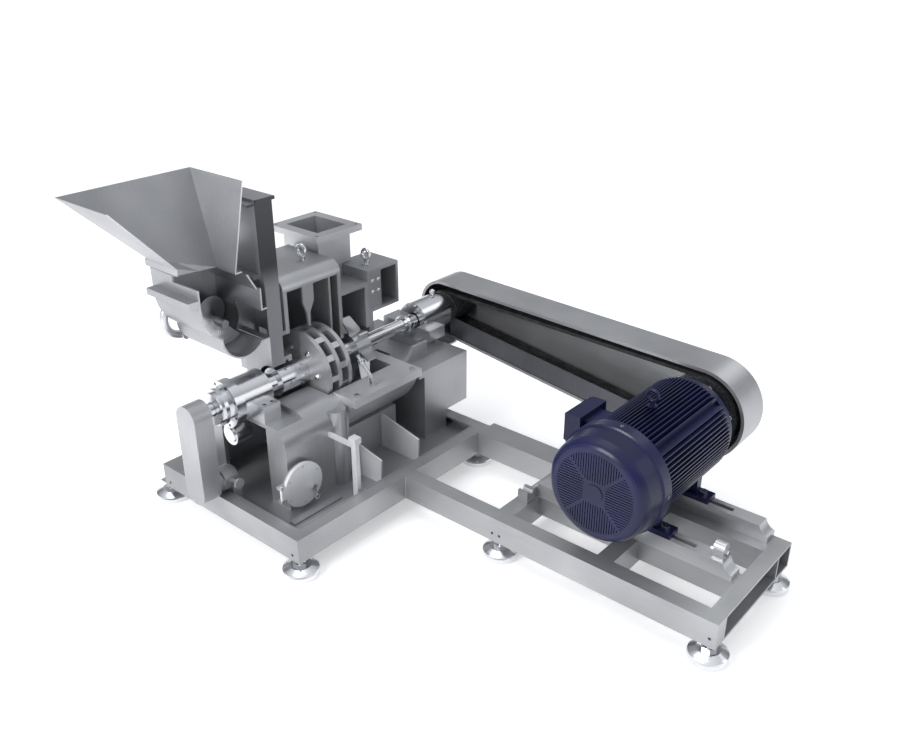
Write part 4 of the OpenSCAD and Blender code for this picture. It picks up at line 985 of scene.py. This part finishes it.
@dataclass
class Studio:
    """A pale floor, soft light from overhead and the camera of the photograph, in the frame's metres."""

    camera_place: Point = (2.4244, -2.9016, 2.7080)
    azimuth: float = 40.35
    elevation: float = 26.33
    roll: float = -0.035
    lens: float = 37.69
    sensor: float = 36.0
    view_depth: float = 400.0
    floor_side: float = 160.0
    floor_colour: str = "#f2f2f3"
    floor_roughness: float = 0.9
    floor_mirror: float = 0.1
    floor_glow: float = 0.38
    sky_top: str = "#c6c8cb"
    sky_middle: str = "#5e6062"
    sky_low: str = "#6e7072"
    horizon: str = "#cfd0d2"
    sky_strength: float = 1.7
    sun_strength: float = 0.45
    sun_spread: float = 42.0
    sun_aim: Point = (0.28, -0.12, -1.0)
    box_aim: Point = (0.0, 0.0, 0.5)
    boxes: tuple[SoftBox, ...] = (
        SoftBox("front_box", power=260.0, side=2.4, place=(-1.0, -5.5, 3.8)),
        SoftBox("back_box", power=14.0, side=2.0, place=(1.2, 4.8, 3.6)),
        SoftBox("side_box", power=20.0, side=2.4, place=(4.6, 2.6, 3.0)),
    )

    def build(self) -> None:
        """Makes the floor, the light and the camera."""
        self.floor()
        self.world()
        self.lamps()
        self.camera()
        LOG.info("studio ready")

    def floor(self) -> None:
        """Lays the floor, wide enough to keep its far edge out of sight."""
        nothing_selected()
        bpy.ops.mesh.primitive_plane_add(size=self.floor_side)
        ground = bpy.context.active_object
        ground.name = "studio_floor"
        material = bpy.data.materials.new("matt_floor_paint")
        material.use_nodes = True
        shader = material.node_tree.nodes["Principled BSDF"]
        shader.inputs["Base Color"].default_value = linear(self.floor_colour)
        shader.inputs["Roughness"].default_value = self.floor_roughness
        shader.inputs["Specular IOR Level"].default_value = self.floor_mirror
        self.glow(material.node_tree, shader)
        ground.data.materials.append(material)

    def glow(self, tree: bpy.types.NodeTree, shader: bpy.types.Node) -> None:
        """Makes the floor a little paler to the camera and in mirrors, without lighting the machine.

        Args:
            tree: The floor's nodes.
            shader: Its surface shader.
        """
        rays = add_node(tree, "ShaderNodeLightPath")
        seen = add_node(tree, "ShaderNodeMath", {"operation": "MAXIMUM"}, {
            0: rays.outputs["Is Camera Ray"], 1: rays.outputs["Is Glossy Ray"]})
        through = add_node(tree, "ShaderNodeMath", {"operation": "MAXIMUM"}, {
            0: seen.outputs["Value"], 1: rays.outputs["Is Transmission Ray"]})
        strength = add_node(tree, "ShaderNodeMath", {"operation": "MULTIPLY"}, {
            0: through.outputs["Value"], 1: self.floor_glow})
        shader.inputs["Emission Color"].default_value = (1.0, 1.0, 1.0, 1.0)
        tree.links.new(strength.outputs["Value"], shader.inputs["Emission Strength"])

    def world(self) -> None:
        """Lights the room from a plain sky that is palest at the horizon."""
        world = bpy.data.worlds.new("studio_sky")
        bpy.context.scene.world = world
        world.use_nodes = True
        tree = world.node_tree
        tree.nodes.clear()
        place = add_node(tree, "ShaderNodeTexCoord").outputs["Generated"]
        parts = add_node(tree, "ShaderNodeSeparateXYZ", None, {"Vector": place})
        ramp = add_node(tree, "ShaderNodeValToRGB", None, {"Fac": parts.outputs["Z"]})
        shades(ramp, [
            (0.0, self.horizon), (0.12, self.horizon), (0.18, self.sky_low), (0.35, self.sky_middle),
            (1.0, self.sky_top),
        ])
        light = add_node(tree, "ShaderNodeBackground", None, {
            "Color": ramp.outputs["Color"], "Strength": self.sky_strength})
        add_node(tree, "ShaderNodeOutputWorld", None, {"Surface": light.outputs["Background"]})

    def lamps(self) -> None:
        """Hangs a broad lamp overhead and the soft boxes round the machine."""
        sun = bpy.data.lights.new("overhead_lamp", "SUN")
        sun.energy = self.sun_strength
        sun.angle = math.radians(self.sun_spread)
        lamp = bpy.data.objects.new("overhead_lamp", sun)
        lamp.rotation_euler = Vector(self.sun_aim).to_track_quat("-Z", "Y").to_euler()
        bpy.context.scene.collection.objects.link(lamp)
        for box in self.boxes:
            box.hang(Vector(self.box_aim))

    def camera(self) -> None:
        """Sets the camera where the photograph was taken from."""
        data = bpy.data.cameras.new("photo_camera")
        data.lens = self.lens
        data.sensor_width = self.sensor
        data.clip_end = self.view_depth
        camera = bpy.data.objects.new("photo_camera", data)
        a, e = math.radians(self.azimuth), math.radians(self.elevation)
        back = Vector((math.sin(a) * math.cos(e), -math.cos(a) * math.cos(e), math.sin(e)))
        turn = (-back).to_track_quat("-Z", "Y").to_matrix().to_4x4()
        level = Matrix.Rotation(math.radians(self.roll), 4, "Z")
        camera.matrix_world = Matrix.Translation(self.camera_place) @ turn @ level
        bpy.context.scene.collection.objects.link(camera)
        bpy.context.scene.camera = camera


def main() -> None:
    """Dresses the machine, fits its small parts and lights it."""
    logging.basicConfig(level=logging.INFO, format="%(message)s")
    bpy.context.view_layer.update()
    bpy.context.scene.view_settings.view_transform = "Standard"
    Studio().build()
    wardrobe = Wardrobe()
    wardrobe.dress_solids()
    kinds = (RotorFittings, BearingFittings, CasingFittings, MotorFittings, GuardFittings, BaseFittings)
    for kind in kinds:
        kind(wardrobe).build()


if __name__ == "__main__":
    main()
